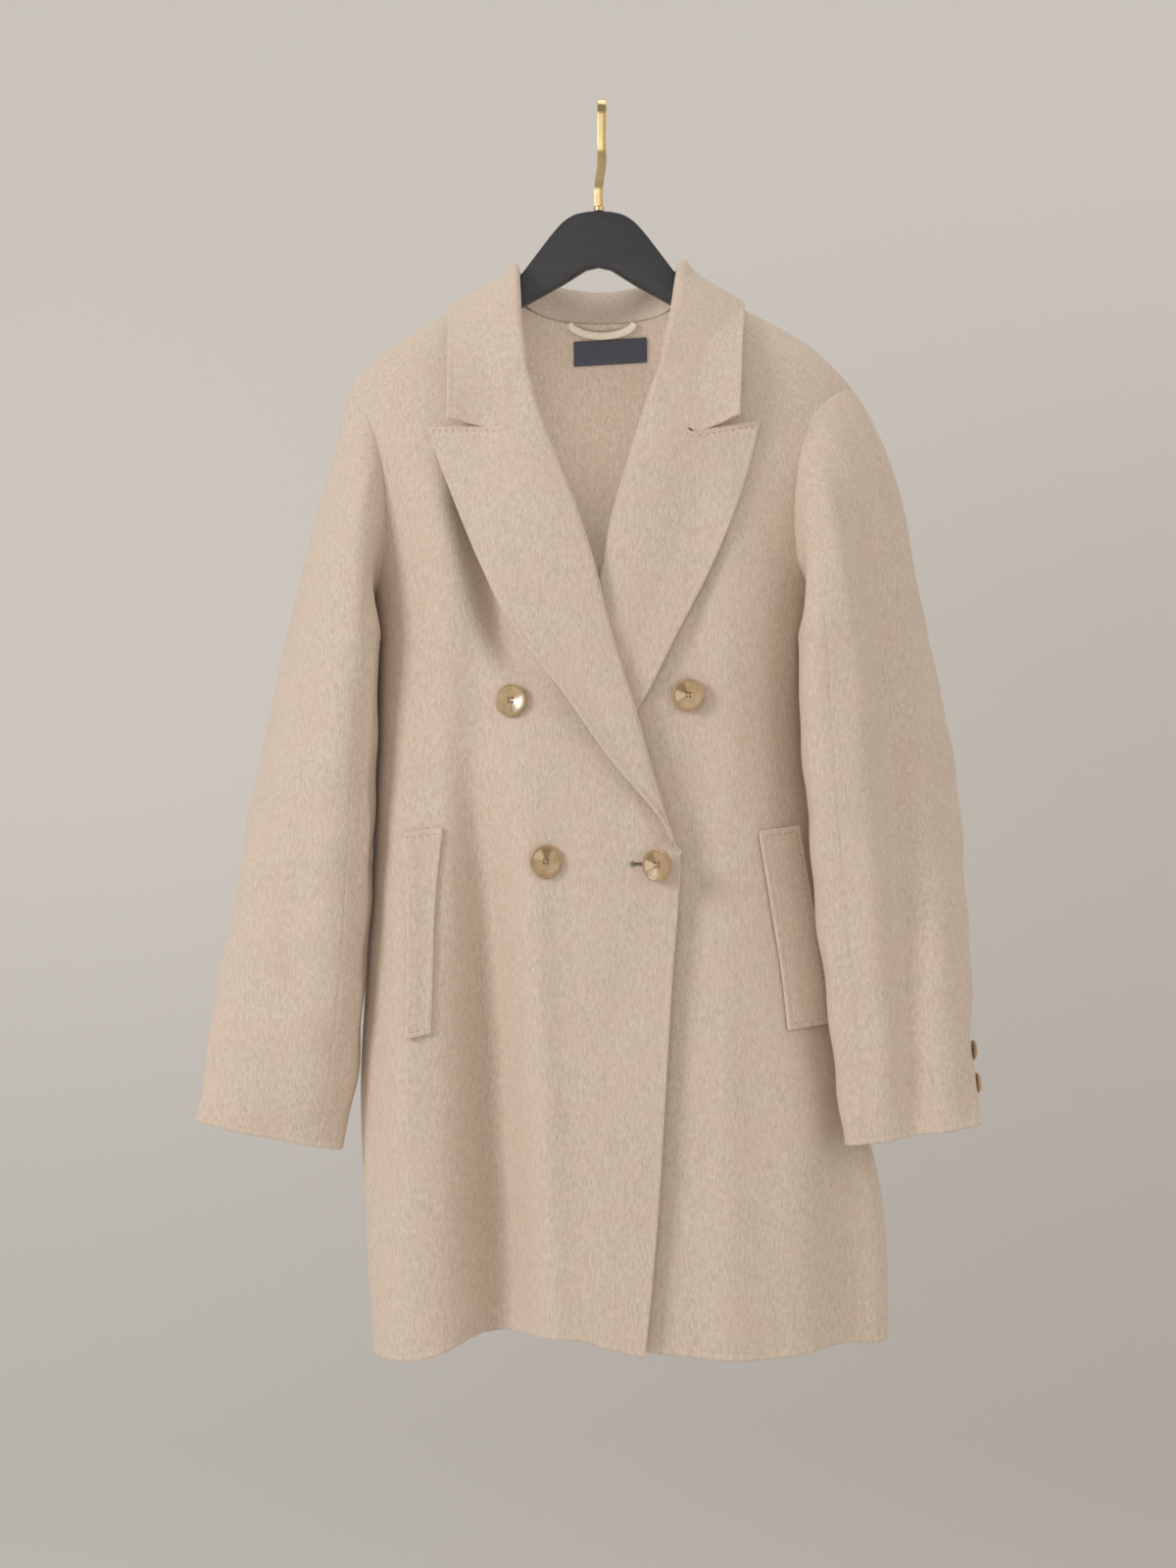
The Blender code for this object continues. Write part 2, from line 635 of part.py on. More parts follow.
def lapel_rows(panel, way, outer, notch, shift, stand_off):
    """The lapel's points past the panel's edge for each row from the break to the gorge, and those rows."""
    edge = panel[:, -1, :]
    rows = np.where((edge[:, 2] > BREAK + 0.004) & (edge[:, 2] < GORGE + 0.0005))[0]
    first = rows[0] - 1
    points = []
    span = GORGE - BREAK
    for row in rows:
        x0, y0, z0 = edge[row]
        part = np.clip((z0 - BREAK) / span, 0, 1)
        turned = pi * min(1.0, (row - first) / TURN_ROWS)
        line = []
        for step in range(1, ARC_STEPS + 1):
            a = turned * step / ARC_STEPS
            line.append((x0 - way * FOLD_RADIUS * sin(a), y0 - FOLD_RADIUS * (1 - cos(a)), z0))
        across = np.linspace(0, 1, LAPEL_STEPS + 1)[1:]
        if row - first < TURN_ROWS:
            length = TURN_WIDTH * (row - first) * across
            x = x0 - way * (FOLD_RADIUS * sin(turned) + length * cos(turned))
            y = y0 - FOLD_RADIUS * (1 - cos(turned)) - length * sin(turned)
            line += list(zip(x, y, np.full(len(x), z0)))
            points.append(line)
            continue
        x, z = lapel_target(part, outer, notch, across, (line[-1][0], z0))
        rest = depth(x, z, -1) + layer_shift(x, z, way, shift) - LAPEL_LIFT - SEAM
        off = stand_off * np.sin(pi * part) * across**EDGE_LIFT_POWER
        y = line[-1][1] + (rest - off - line[-1][1]) * ease(across, 0.0, 0.5)
        y = np.minimum(y, rest)
        line += list(zip(x, y, z))
        points.append(line)
    return np.array(points), first


def build_front(name, way, edge, hem, column, shift, outer, notch, stand_off, group):
    """One front: panel, turned edge and lapel as a single wall."""
    panel = front_panel(way, edge, hem, column, shift)
    lapel, first = lapel_rows(panel, way, outer, notch, shift, stand_off)
    rows, columns = panel.shape[:2]
    points = panel.reshape(-1, 3).tolist()
    faces = grid_faces(rows, columns)
    start = len(points)
    width = lapel.shape[1]
    points += lapel.reshape(-1, 3).tolist()
    faces += grid_faces(lapel.shape[0], width, start)
    inner = [row * columns + columns - 1 for row in range(rows)]
    for k in range(lapel.shape[0] - 1):
        low = first + 1 + k
        faces.append([inner[low], start + k * width, start + (k + 1) * width, inner[low + 1]])
    faces.append([inner[first], start, inner[first + 1]])
    for k in range(width - 1):
        faces.append([inner[first], start + k + 1, start + k])
    return add_wall(name, points, faces, "wool", group, faces_out=way > 0)


# ---------------------------------------------------------------- backs
def build_back(name, way, group):
    """One half of the back, from its side seam and armhole to the centre back seam."""
    level = panel_levels(0.05)[:, None]
    start = armhole_angle(level, "back")
    part = np.linspace(0, 1, BACK_COLUMNS + 1)[None, :]
    end = radians(90)
    angle = start + (end - start) * part
    rows = level + 0 * part
    for _ in range(ROUNDS):
        x, z = on_body(angle, rows, way, BACK_HEM)
        neck = smooth(BACK_NECK, "x", "z", np.abs(x))
        top = np.where(np.abs(x) < NECK_POINT, (neck - CHEST) / (ridge(x) - CHEST), 1.0)
        limit = np.arcsin(np.clip(top, 0, 1)) / (pi / 2)
        rows = np.where(level > 0, level * limit, level)
    y = depth(x, z, 1) + SEAM
    x = x + way * SEAM
    grid = np.stack([x, y, z], axis=-1)
    faces = grid_faces(*grid.shape[:2])
    return add_wall(name, grid.reshape(-1, 3), faces, "wool", group, faces_out=way < 0)


# ---------------------------------------------------------------- sleeves
def armhole_points(way, column, hem, count, side):
    """Points up one side of the armhole, underarm to shoulder tip, evenly spaced."""
    level = np.linspace(0, SHOULDER_LEVEL, HOLE_POINTS)
    x, z = on_body(armhole_angle(level, column), level, way, hem)
    y = depth(x, z, side) + side * SEAM
    line = np.stack([x, y, z], axis=-1)
    run = np.concatenate([[0], np.cumsum(np.linalg.norm(np.diff(line, axis=0), axis=1))])
    at = np.linspace(0, run[-1], count)
    return np.stack([np.interp(at, run, line[:, k]) for k in range(3)], axis=-1)


def sleeve_ring(table, z, angle, way):
    """Ring of a sleeve at height z: an oval with its inner end turned forward and its outer end higher."""
    height = np.full(np.shape(angle), z)
    outer = smooth(table[::-1], "z", "outer", height)
    inner = smooth(table[::-1], "z", "inner", height)
    across = np.cos(angle)
    x = (outer + inner) / 2 + (inner - outer) / 2 * across
    half_depth = smooth(table[::-1], "z", "half_depth", height)
    twist = smooth(table[::-1], "z", "twist", height)
    y = smooth(table[::-1], "z", "y", height) - half_depth * np.sin(angle) - twist * across
    slant = smooth(table[::-1], "z", "slant", height)
    z_out = height + slant * way * (x - (outer + inner) / 2)
    return np.stack([x, y, z_out], axis=-1)


def sleeve_grid(way, table, column, hem):
    """Whole sleeve as rings by columns by xyz, from the armhole to the cuff."""
    half = SLEEVE_COLUMNS // 2
    front = armhole_points(way, column, hem, half + 1, -1)
    back = armhole_points(way, "back", BACK_HEM, half + 1, 1)
    hole = np.concatenate([front, back[::-1][1:]])
    hole[half] = (front[-1] + back[-1]) / 2
    hole[0] = hole[-1] = (front[0] + back[0]) / 2
    angle = np.linspace(0, 2 * pi, SLEEVE_COLUMNS + 1)
    first = sleeve_ring(table, table[0].z, angle - SLEEVE_TURN, way)
    reach = np.linalg.norm(first - hole, axis=1)[:, None]
    across = np.cos(angle)
    beside = np.clip(across, 0, 1) ** 2
    outer = np.clip(-across, 0, 1) ** 2
    aside = way * (LEAVE_ASIDE + LEAVE_SPREAD * across**2 + LEAVE_INNER * beside + LEAVE_OUTER[way] * outer)
    leave = unit(np.stack([aside, -LEAVE_ROUND * np.sin(angle), LEAVE_LEVEL * beside - LEAVE_DOWN], axis=1))
    arrive = np.array([way * ARRIVE_ASIDE, 0.0, -1.0])
    hole = hole + leave * (WALL + SEAM + WALL / 2 * beside[:, None])
    rings = []
    for t in np.linspace(0, 1, HEAD_RINGS + 1)[:-1]:
        mix = (2 * t**3 - 3 * t**2 + 1) * hole + (3 * t**2 - 2 * t**3) * first
        rings.append(mix + reach * ((t**3 - 2 * t**2 + t) * leave + (t**3 - t**2) * arrive))
    for z in np.linspace(table[0].z, table[-1].z, SLEEVE_RINGS + 1):
        rings.append(sleeve_ring(table, z, angle - SLEEVE_TURN, way))
    return np.array(rings)


def build_sleeve(side, way, table, column, hem, group):
    """Top sleeve and under sleeve, which meet at the front and hind arm seams."""
    grid = sleeve_grid(way, table, column, hem)
    top = grid[:, FRONT_SEAM : HIND_SEAM + 1].copy()
    under = np.concatenate([grid[:, HIND_SEAM:-1], grid[:, : FRONT_SEAM + 1]], axis=1)
    for part, ends in ((top, (FRONT_SEAM, HIND_SEAM)), (under, (HIND_SEAM, FRONT_SEAM))):
        for edge, inward, seam in ((0, 1, ends[0]), (-1, -2, ends[1])):
            ahead = unit(grid[:, seam + 1] - grid[:, seam])
            behind = unit(grid[:, seam] - grid[:, seam - 1])
            turn = np.arccos(np.clip((ahead * behind).sum(axis=1), -1, 1))[:, None]
            back = SEAM * 2 + WALL * SEAM_TURN * np.tan(turn / 2)
            part[:, edge] += unit(part[:, inward] - part[:, edge]) * back
    for name, part in ((f"sleeve_{side}_top", top), (f"sleeve_{side}_under", under)):
        faces = grid_faces(*part.shape[:2])
        add_wall(name, part.reshape(-1, 3), faces, "wool", group, faces_out=way < 0)


# ---------------------------------------------------------------- collar
def push_out(point, out):
    """Moves a point that lies within the body form, made larger by out, onto it."""
    x, y, z = point
    side = -1 if y < 0 else 1
    full = abs(float(depth(x, CHEST, side, out)))
    rise = max(0.0, float((z - CHEST) / (ridge(x) + out - CHEST)))
    size = (y / full) ** 2 + rise**2
    if size >= 1:
        return point
    grow = 1 / np.sqrt(size)
    return np.array([x, y * grow, CHEST + (z - CHEST) * grow])


def collar_line(row, seam, fold, away):
    """Cross-section of the collar: up the stand, round the fold and down the fall."""
    outer = np.array([row.outer_x, row.outer_y, row.outer_z])
    mid = np.array([row.mid_x, (row.fold_y + row.outer_y) / 2, row.mid_z])
    up = unit(fold - seam)
    seam = seam + up * COLLAR_GAP
    turn = fold - up * FOLD_RADIUS
    line = [seam + (turn - seam) * k / STAND_STEPS for k in range(STAND_STEPS + 1)]
    centre = turn + away * FOLD_RADIUS
    for k in range(1, ARC_STEPS + 1):
        a = pi * k / ARC_STEPS
        line.append(centre + up * FOLD_RADIUS * sin(a) - away * FOLD_RADIUS * cos(a))
    start = line[-1]
    for k in range(1, FALL_STEPS + 1):
        t = 2 * k / FALL_STEPS
        point = start + (mid - start) * min(t, 1) + (outer - mid) * max(t - 1, 0)
        line.append(push_out(point, COLLAR_LIFT))
    return line


def collar_grid(steps):
    """Points of the collar, stations by places across it."""
    Spot = namedtuple("Spot", ("at",) + Station._fields)
    spots = [Spot(k, *row) for k, row in enumerate(COLLAR)]
    place = np.linspace(0, len(COLLAR) - 1, steps * (len(COLLAR) - 1) + 1)
    columns = {field: smooth(spots, "at", field, place) for field in Station._fields}
    fold = np.stack([columns["fold_x"], columns["fold_y"], columns["fold_z"]], axis=-1)
    back = fold[:, 1] > 0
    x, z = columns["seam_x"], columns["seam_z"]
    y = np.where(back, depth(x, z, 1) + SEAM, depth(x, z, -1) - SEAM)
    seam = np.stack([x, y, z], axis=-1)
    away = unit(np.cross(unit(fold - seam), np.gradient(fold, axis=0)))
    rows = [Station(*(float(columns[field][k]) for field in Station._fields)) for k in range(len(place))]
    return np.array([collar_line(*parts) for parts in zip(rows, seam, fold, away)])


def build_collar(group):
    """Collar as one folded wall from the right notch round the neck to the left notch."""
    grid = collar_grid(COLLAR_STEPS)
    faces = grid_faces(*grid.shape[:2])
    return add_wall("collar", grid.reshape(-1, 3), faces, "wool", group)


# ---------------------------------------------------------------- welts, buttons, loop, label
def surface(x, z, way, shift):
    """y of a front panel's middle at (x, z)."""
    return depth(x, z, -1) + layer_shift(x, z, way, shift) - SEAM


def build_welt(name, table, way, shift, group):
    """Pocket welt, made from the panel's own points moved out."""
    z = np.linspace(table[0].z, table[-1].z, WELT_ROWS + 1)[:, None]
    part = np.linspace(0, 1, WELT_COLUMNS + 1)[None, :]
    left = smooth(table, "z", "left", z)
    right = smooth(table, "z", "right", z)
    x = left + (right - left) * part
    z = z + WELT_TILT * (part - 0.5)
    slope = (surface(x + STEP, z, way, shift) - surface(x - STEP, z, way, shift)) / (2 * STEP)
    out = WELT_OUT / np.sqrt(1 + slope**2)
    grid = np.stack([x + slope * out, surface(x, z, way, shift) - out, z], axis=-1)
    add_wall(name, grid.reshape(-1, 3), grid_faces(*grid.shape[:2]), "wool", group, thick=WELT_WALL)


def add_turned(name, outline, radius, steps, finish, group):
    """Turned shape: its outline, as parts of the radius, swept round +Z from the back at 0."""
    points = [(radius * turn.radius, 0, radius * turn.height) for turn in outline]
    mesh = bpy.data.meshes.new(name)
    mesh.from_pydata(points, [(k, k + 1) for k in range(len(points) - 1)], [])
    made = add_object(name, mesh, finish, group)
    sweep = made.modifiers.new("turned", "SCREW")
    sweep.steps = steps
    sweep.render_steps = steps
    sweep.use_merge_vertices = True
    sweep.merge_threshold = 0.00001
    return made


def normal_turn(x, z, way, shift):
    """Angles that face a button along the front's outward normal."""
    step = BUTTON_STEP
    across = float(surface(x + step, z, way, shift) - surface(x - step, z, way, shift)) / (2 * step)
    upward = float(surface(x, z + step, way, shift) - surface(x, z - step, way, shift)) / (2 * step)
    return np.arctan(upward), np.arctan(across)


def build_front_buttons(group):
    """Four front buttons, each sewn flat on its layer; the fastened one leans out of its buttonhole."""
    for sewn in FRONT_BUTTONS:
        way, shift = (-1, UPPER_OUT) if sewn.layer == "upper" else (1, UNDER_IN)
        made = add_turned(sewn.name, BUTTON_PROFILE, BUTTON_RADIUS, BUTTON_STEPS, "button", group)
        upward, across = normal_turn(sewn.x, sewn.z, way, shift)
        lean = sin(radians(sewn.turn)) * BUTTON_RADIUS
        out = WALL / 2 + BUTTON_SHANK + lean
        y = float(surface(sewn.x, sewn.z, way, shift)) - out
        made.rotation_euler = (radians(90) + upward, 0, across - radians(sewn.turn))
        made.location = (sewn.x, y, sewn.z)


def build_cuff_buttons(side, way, table, group):
    """Two buttons on the hind arm seam above the cuff."""
    angle = CUFF_BUTTON_ANGLES[side]
    for number, z in enumerate(CUFF_BUTTON_HEIGHTS, 1):
        spot, ahead = sleeve_ring(table, z, np.array([angle, angle + 0.1]), way)
        above = sleeve_ring(table, z + BUTTON_STEP, np.array([angle]), way)[0]
        normal = unit(np.cross(ahead - spot, above - spot))
        normal = normal * np.sign(normal[0] * way)
        name = f"cuff_button_{side}_{number}"
        made = add_turned(name, BUTTON_PROFILE, CUFF_BUTTON_RADIUS, CUFF_BUTTON_STEPS, "button", group)
        made.location = (spot + normal * (WALL / 2 + CUFF_BUTTON_SHANK)).tolist()
        made.rotation_mode = "QUATERNION"
        made.rotation_quaternion = Vector(normal.tolist()).to_track_quat("Z", "Y")


def build_loop(group):
    """Hanging loop: a flat cord that dips between two points of the back neck seam."""
    part = np.linspace(-1, 1, LOOP_STEPS + 1)
    x = LOOP_CENTRE + LOOP_HALF * part
    z = LOOP_TOP - LOOP_DIP * (1 - part**2) ** LOOP_ROUND
    y = depth(x, z, 1) - LOOP_OFF
    run = unit(np.stack([np.gradient(x), np.gradient(z)], axis=-1)) * LOOP_WIDTH / 2
    rows = [np.stack([x - side * run[:, 1], y, z + side * run[:, 0]], axis=-1) for side in (-1, 1)]
    grid = np.array(rows)
    faces = grid_faces(*grid.shape[:2])
    add_wall("hanging_loop", grid.reshape(-1, 3), faces, "loop", group, thick=LOOP_THICK)


def build_label(group):
    """Bare label inside the back neck, just off the cloth."""
    x = np.linspace(LABEL_LEFT, LABEL_RIGHT, LABEL_COLUMNS + 1)[None, :]
    z = np.linspace(LABEL_LOW, LABEL_HIGH, LABEL_ROWS + 1)[:, None] + LABEL_TILT * x
    x = x + 0 * z
    y = depth(x, z, 1) - WALL / 2 - 3 * SEAM - LABEL_THICK
    grid = np.stack([x, y, z], axis=-1)
    faces = grid_faces(*grid.shape[:2])
    add_wall("label", grid.reshape(-1, 3), faces, "label", group, thick=LABEL_THICK)


# ---------------------------------------------------------------- hanger
def build_hanger(group):
    """Flat hanger body: its outline filled and given thickness, with rounded edges."""
    across = np.linspace(0, HANGER_TOP[-2].x, HANGER_STEPS)[1:]
    top = [Place(float(x), float(z)) for x, z in zip(across, smooth(HANGER_TOP, "x", "z", across))]
    right = top + list(HANGER_TOP[-1:]) + list(HANGER_LOWER)
    left = [Place(-spot.x, spot.z) for spot in reversed(right)]
    outline = [HANGER_TOP[0]] + right + [HANGER_NOTCH] + left
    shape = bpy.data.curves.new("hanger_outline", "CURVE")
    shape.dimensions = "2D"
    shape.fill_mode = "BOTH"
    shape.extrude = HANGER_THICK / 2 - HANGER_EDGE
    shape.bevel_depth = HANGER_EDGE
    shape.bevel_resolution = 1
    shape.offset = -HANGER_EDGE
    line = shape.splines.new("POLY")
    line.points.add(len(outline) - 1)
    for point, spot in zip(line.points, outline):
        point.co = (spot.x, spot.z, 0, 1)
    line.use_cyclic_u = True
    guide = bpy.data.objects.new("hanger_outline", shape)
    group.objects.link(guide)
    guide.rotation_euler = (radians(90), 0, 0)
    guide.location = (-HOOK_ASIDE, 0, 0)
    bpy.context.view_layer.update()
    filled = guide.evaluated_get(bpy.context.evaluated_depsgraph_get())
    mesh = bpy.data.meshes.new_from_object(filled)
    made = add_object("hanger", mesh, "wood", group)
    made.matrix_world = guide.matrix_world.copy()
    bpy.data.objects.remove(guide)
    work = bmesh.new()
    work.from_mesh(mesh)
    bmesh.ops.remove_doubles(work, verts=work.verts, dist=0.00001)
    bmesh.ops.recalc_face_normals(work, faces=work.faces)
    work.to_mesh(mesh)
    work.free()


def hook_path():
    """Middle line of the hook in (y, z): from its tip behind the rail over it and down to the hanger."""
    radius = HOOK_RADIUS + HOOK_THICK / 2
    centre = -HOOK_RADIUS
    path = [(radius, centre - HOOK_TIP_DROP)]
    for step in range(HOOK_STEPS + 1):
        a = pi * step / HOOK_STEPS
        path.append((radius * cos(a), centre + radius * sin(a)))
    return path + [(-radius * neck.part, neck.z) for neck in HOOK_NECK]


def build_hook(group):
    """Flat strip hook with a round ferrule at the hanger."""
    rows = []
    for y, z in hook_path():
        aside = HOOK_ASIDE * (1 - 2 * float(ease(-z, -JOG_HIGH, -JOG_LOW)))
        rows.append([(aside - HOOK_WIDTH / 2, y, z), (aside + HOOK_WIDTH / 2, y, z)])
    points = [point for row in rows for point in row]
    add_wall("hanger_hook", points, grid_faces(len(rows), 2), "brass", group, thick=HOOK_THICK)
    ferrule = add_turned("hook_ferrule", FERRULE_PROFILE, FERRULE_RADIUS, FERRULE_STEPS, "brass", group)
    ferrule.location = (-HOOK_ASIDE, 0, FERRULE_BOTTOM)


def build_all():
    """Every piece of the coat and its hanger."""
    for old in list(bpy.data.objects):
        bpy.data.objects.remove(old)
    group = bpy.data.collections.new("double_breasted_coat")
    bpy.context.scene.collection.children.link(group)
    build_front("front_right", -1, UPPER_EDGE, UPPER_HEM, "front_right", UPPER_OUT,
                UPPER_LAPEL, UPPER_NOTCH, UPPER_STAND_OFF, group)
    build_front("front_left", 1, UNDER_EDGE, UNDER_HEM, "front_left", UNDER_IN,
                UNDER_LAPEL, UNDER_NOTCH, 0.0, group)
    build_back("back_right", -1, group)
    build_back("back_left", 1, group)
    build_sleeve("right", -1, RIGHT_SLEEVE, "front_right", UPPER_HEM, group)
    build_sleeve("left", 1, LEFT_SLEEVE, "front_left", UNDER_HEM, group)
    build_collar(group)
    build_welt("welt_right", RIGHT_WELT, -1, UPPER_OUT, group)
    build_welt("welt_left", LEFT_WELT, 1, UNDER_IN, group)
    build_front_buttons(group)
    build_cuff_buttons("right", -1, RIGHT_SLEEVE, group)
    build_cuff_buttons("left", 1, LEFT_SLEEVE, group)
    build_loop(group)
    build_label(group)
    build_hanger(group)
    build_hook(group)


if __name__ == "__main__":
    build_all()
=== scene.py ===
"""Double-breasted wool coat on its hanger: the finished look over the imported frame.

Metres, +Z up, the coat's front faces -Y and +X is the wearer's left. Every piece of cloth is a surface of two
parameters, worked out with numpy from named sizes and short tables, and given the cloth's thickness.
"""

from collections import namedtuple
from math import pi, radians

import bmesh
import bpy
import numpy as np
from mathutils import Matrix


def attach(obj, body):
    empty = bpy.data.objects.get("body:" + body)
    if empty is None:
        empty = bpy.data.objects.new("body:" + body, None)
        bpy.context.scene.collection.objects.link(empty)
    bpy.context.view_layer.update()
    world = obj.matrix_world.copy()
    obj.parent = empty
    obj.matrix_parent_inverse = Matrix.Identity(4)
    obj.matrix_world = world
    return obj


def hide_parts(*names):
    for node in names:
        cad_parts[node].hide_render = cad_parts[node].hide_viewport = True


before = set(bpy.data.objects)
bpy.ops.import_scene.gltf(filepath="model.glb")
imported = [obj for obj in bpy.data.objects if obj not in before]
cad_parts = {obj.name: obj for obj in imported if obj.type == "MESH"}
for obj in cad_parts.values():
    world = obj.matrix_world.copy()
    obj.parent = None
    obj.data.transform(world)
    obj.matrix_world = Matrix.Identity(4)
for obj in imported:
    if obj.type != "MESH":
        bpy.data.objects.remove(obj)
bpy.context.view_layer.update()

bl_info = {
    "name": "Double-breasted coat",
    "version": (1, 0, 0),
    "blender": (4, 5, 0),
    "location": "View3D > Sidebar > Coat",
    "description": "Builds a double-breasted wool coat hung on a flat hanger",
    "category": "Object",
}

Place = namedtuple("Place", "x z")


def short_table(columns, *values):
    """Short table: the names of its columns, then the values of each row."""
    row = namedtuple("Row", columns)
    return tuple(row(*value) for value in values)


# ---------------------------------------------------------------- sizes
WALL = 0.0022  # double-faced cloth
SEAM = 0.0003  # gap between pieces
CHEST = -0.410  # underarm
BREAK = -0.617  # where the lapels begin to turn
LAPEL_LOW = -0.601  # lowest pick stitch of the lapels
GORGE = -0.235  # top of the roll line
NECK_POINT = 0.078
ROUNDNESS = 2.3  # power of the oval section
UPPER_OUT = -0.0035  # upper front, outwards
UNDER_IN = 0.0070  # under front, inwards
OVERLAP = (-0.105, -0.070)  # from the centre, where a layer's shift grows to its full size
SHIFT_END = (-0.36, -0.27)  # heights over which the shift fades out towards the neck
FOLD_RADIUS = 0.0034  # roll line and collar fold
TURN_RISE = 0.034  # height over which a lapel turns over
LAPEL_LIFT = 0.0056  # lapel off the front
COLLAR_LIFT = 0.0066  # collar's fall off the body
COLLAR_GAP = 0.0014  # collar's stand off the neckline
SHOULDER_LEVEL = 1.0
SKIRT_LENGTH = 0.59  # chest to hem
ROUNDS = 24  # steps that settle a row's place on the form

SECTIONS = short_table(
    "z right_edge left_edge front back",
    (-1.030, -0.183, 0.234, 0.087, 0.070),
    (-0.890, -0.191, 0.228, 0.086, 0.068),
    (-0.800, -0.194, 0.207, 0.085, 0.066),
    (-0.700, -0.189, 0.186, 0.083, 0.064),
    (-0.600, -0.184, 0.171, 0.082, 0.062),
    (-0.500, -0.181, 0.163, 0.080, 0.062),
    (-0.410, -0.182, 0.171, 0.078, 0.064),
    (-0.350, -0.189, 0.181, 0.077, 0.065),
    (-0.300, -0.197, 0.191, 0.075, 0.066),
    (-0.240, -0.206, 0.204, 0.073, 0.066),
    (-0.130, -0.210, 0.208, 0.070, 0.066),
)

# Shoulder ridge: height at each distance from the centre
RIDGE = short_table(
    "x z",
    (0.000, -0.115), (0.040, -0.126), (0.060, -0.137), (0.078, -0.1475), (0.100, -0.1605),
    (0.120, -0.172), (0.150, -0.188), (0.170, -0.200), (0.185, -0.213), (0.200, -0.2285),
    (0.212, -0.245),
)

# Back neckline: height at each distance from the centre
BACK_NECK = short_table(
    "x z",
    (0.000, -0.1740), (0.025, -0.1730), (0.050, -0.1680), (0.070, -0.1570), (0.078, -0.1475),
)

# Inner edge of each front, hem to neck point: free edge, then roll line, then neckline
UPPER_EDGE = short_table(
    "z x",
    (-1.010, 0.0330), (-0.940, 0.0400), (-0.677, 0.0576), (-0.640, 0.0606), (-0.617, 0.0614),
    (-0.584, 0.0514), (-0.543, 0.0390), (-0.501, 0.0276), (-0.433, 0.0069), (-0.396, -0.0023),
    (-0.358, -0.0131), (-0.329, -0.0231), (-0.289, -0.0386), (-0.256, -0.0504),
    (-0.235, -0.0560), (-0.205, -0.0690), (-0.180, -0.0755), (-0.1475, -0.0780),
)
UNDER_EDGE = short_table(
    "z x",
    (-1.010, -0.0400), (-0.677, -0.0620), (-0.640, -0.0655), (-0.617, -0.0660),
    (-0.543, -0.0450), (-0.500, -0.0325), (-0.433, -0.0125), (-0.385, 0.0006), (-0.338, 0.0108),
    (-0.299, 0.0225), (-0.248, 0.0385), (-0.235, 0.0430), (-0.205, 0.0620), (-0.180, 0.0735),
    (-0.1475, 0.0780),
)

# Lapel's outer edge, break to peak, as part of the way up
UPPER_LAPEL = short_table(
    "part x z",
    (0.00, 0.0590, -0.6120),
    (0.08, 0.0530, -0.5920),
    (0.25, 0.0085, -0.5370),
    (0.40, -0.0285, -0.4850),
    (0.55, -0.0695, -0.4310),
    (0.70, -0.0955, -0.3790),
    (0.85, -0.1200, -0.3190),
    (1.00, -0.1380, -0.2710),
)
UNDER_LAPEL = short_table(
    "part x z",
    (0.00, -0.0630, -0.6120),
    (0.08, -0.0570, -0.5920),
    (0.25, -0.0150, -0.5500),
    (0.40, 0.0270, -0.4990),
    (0.55, 0.0610, -0.4340),
    (0.70, 0.0890, -0.3790),
    (0.85, 0.1120, -0.3200),
    (1.00, 0.1260, -0.2670),
)
# Notch between collar and lapel, then the gorge runs to the roll line
UPPER_NOTCH = Place(-0.0805, -0.2745)
UNDER_NOTCH = Place(0.0700, -0.2790)
NOTCH_PART = 0.45  # part of a lapel's width at which its top edge passes the notch
GORGE_PART = 0.55  # part of a lapel's height from which its rows bend towards the gorge
LAPEL_SWELL = 0.0022  # fullness of a lapel beside its roll

# Hem height across the body
UPPER_HEM = short_table(
    "x z",
    (-0.190, -1.0160), (-0.165, -1.0140), (-0.128, -1.0065), (-0.100, -0.9955),
    (-0.060, -0.9920), (-0.040, -0.9885), (-0.015, -0.9900), (0.005, -0.9958), (0.034, -1.0025),
)
UNDER_HEM = short_table(
    "x z",
    (-0.045, -0.9850), (0.000, -0.9900), (0.030, -0.9990), (0.065, -1.0040), (0.100, -1.0070),
    (0.135, -1.0075), (0.190, -1.0030), (0.235, -1.0050),
)
BACK_HEM = short_table(
    "x z",
    (-0.190, -1.0200), (-0.100, -1.0130), (0.000, -1.0080), (0.100, -1.0060), (0.235, -1.0050),
)

FOLDS = short_table(
    "side top_z top_x hem_x top_width hem_width depth",
    (-1, -0.360, -0.100, -0.078, 0.016, 0.034, 0.034),
    (-1, -0.480, 0.196, 0.204, 0.022, 0.030, 0.022),
    (-1, -0.620, 0.110, 0.140, 0.020, 0.030, 0.004),
    (1, -0.450, -0.090, -0.110, 0.022, 0.036, 0.016),
    (1, -0.430, 0.085, 0.110, 0.022, 0.036, 0.018),
    (1, -0.700, 0.010, 0.020, 0.020, 0.030, 0.006),
)

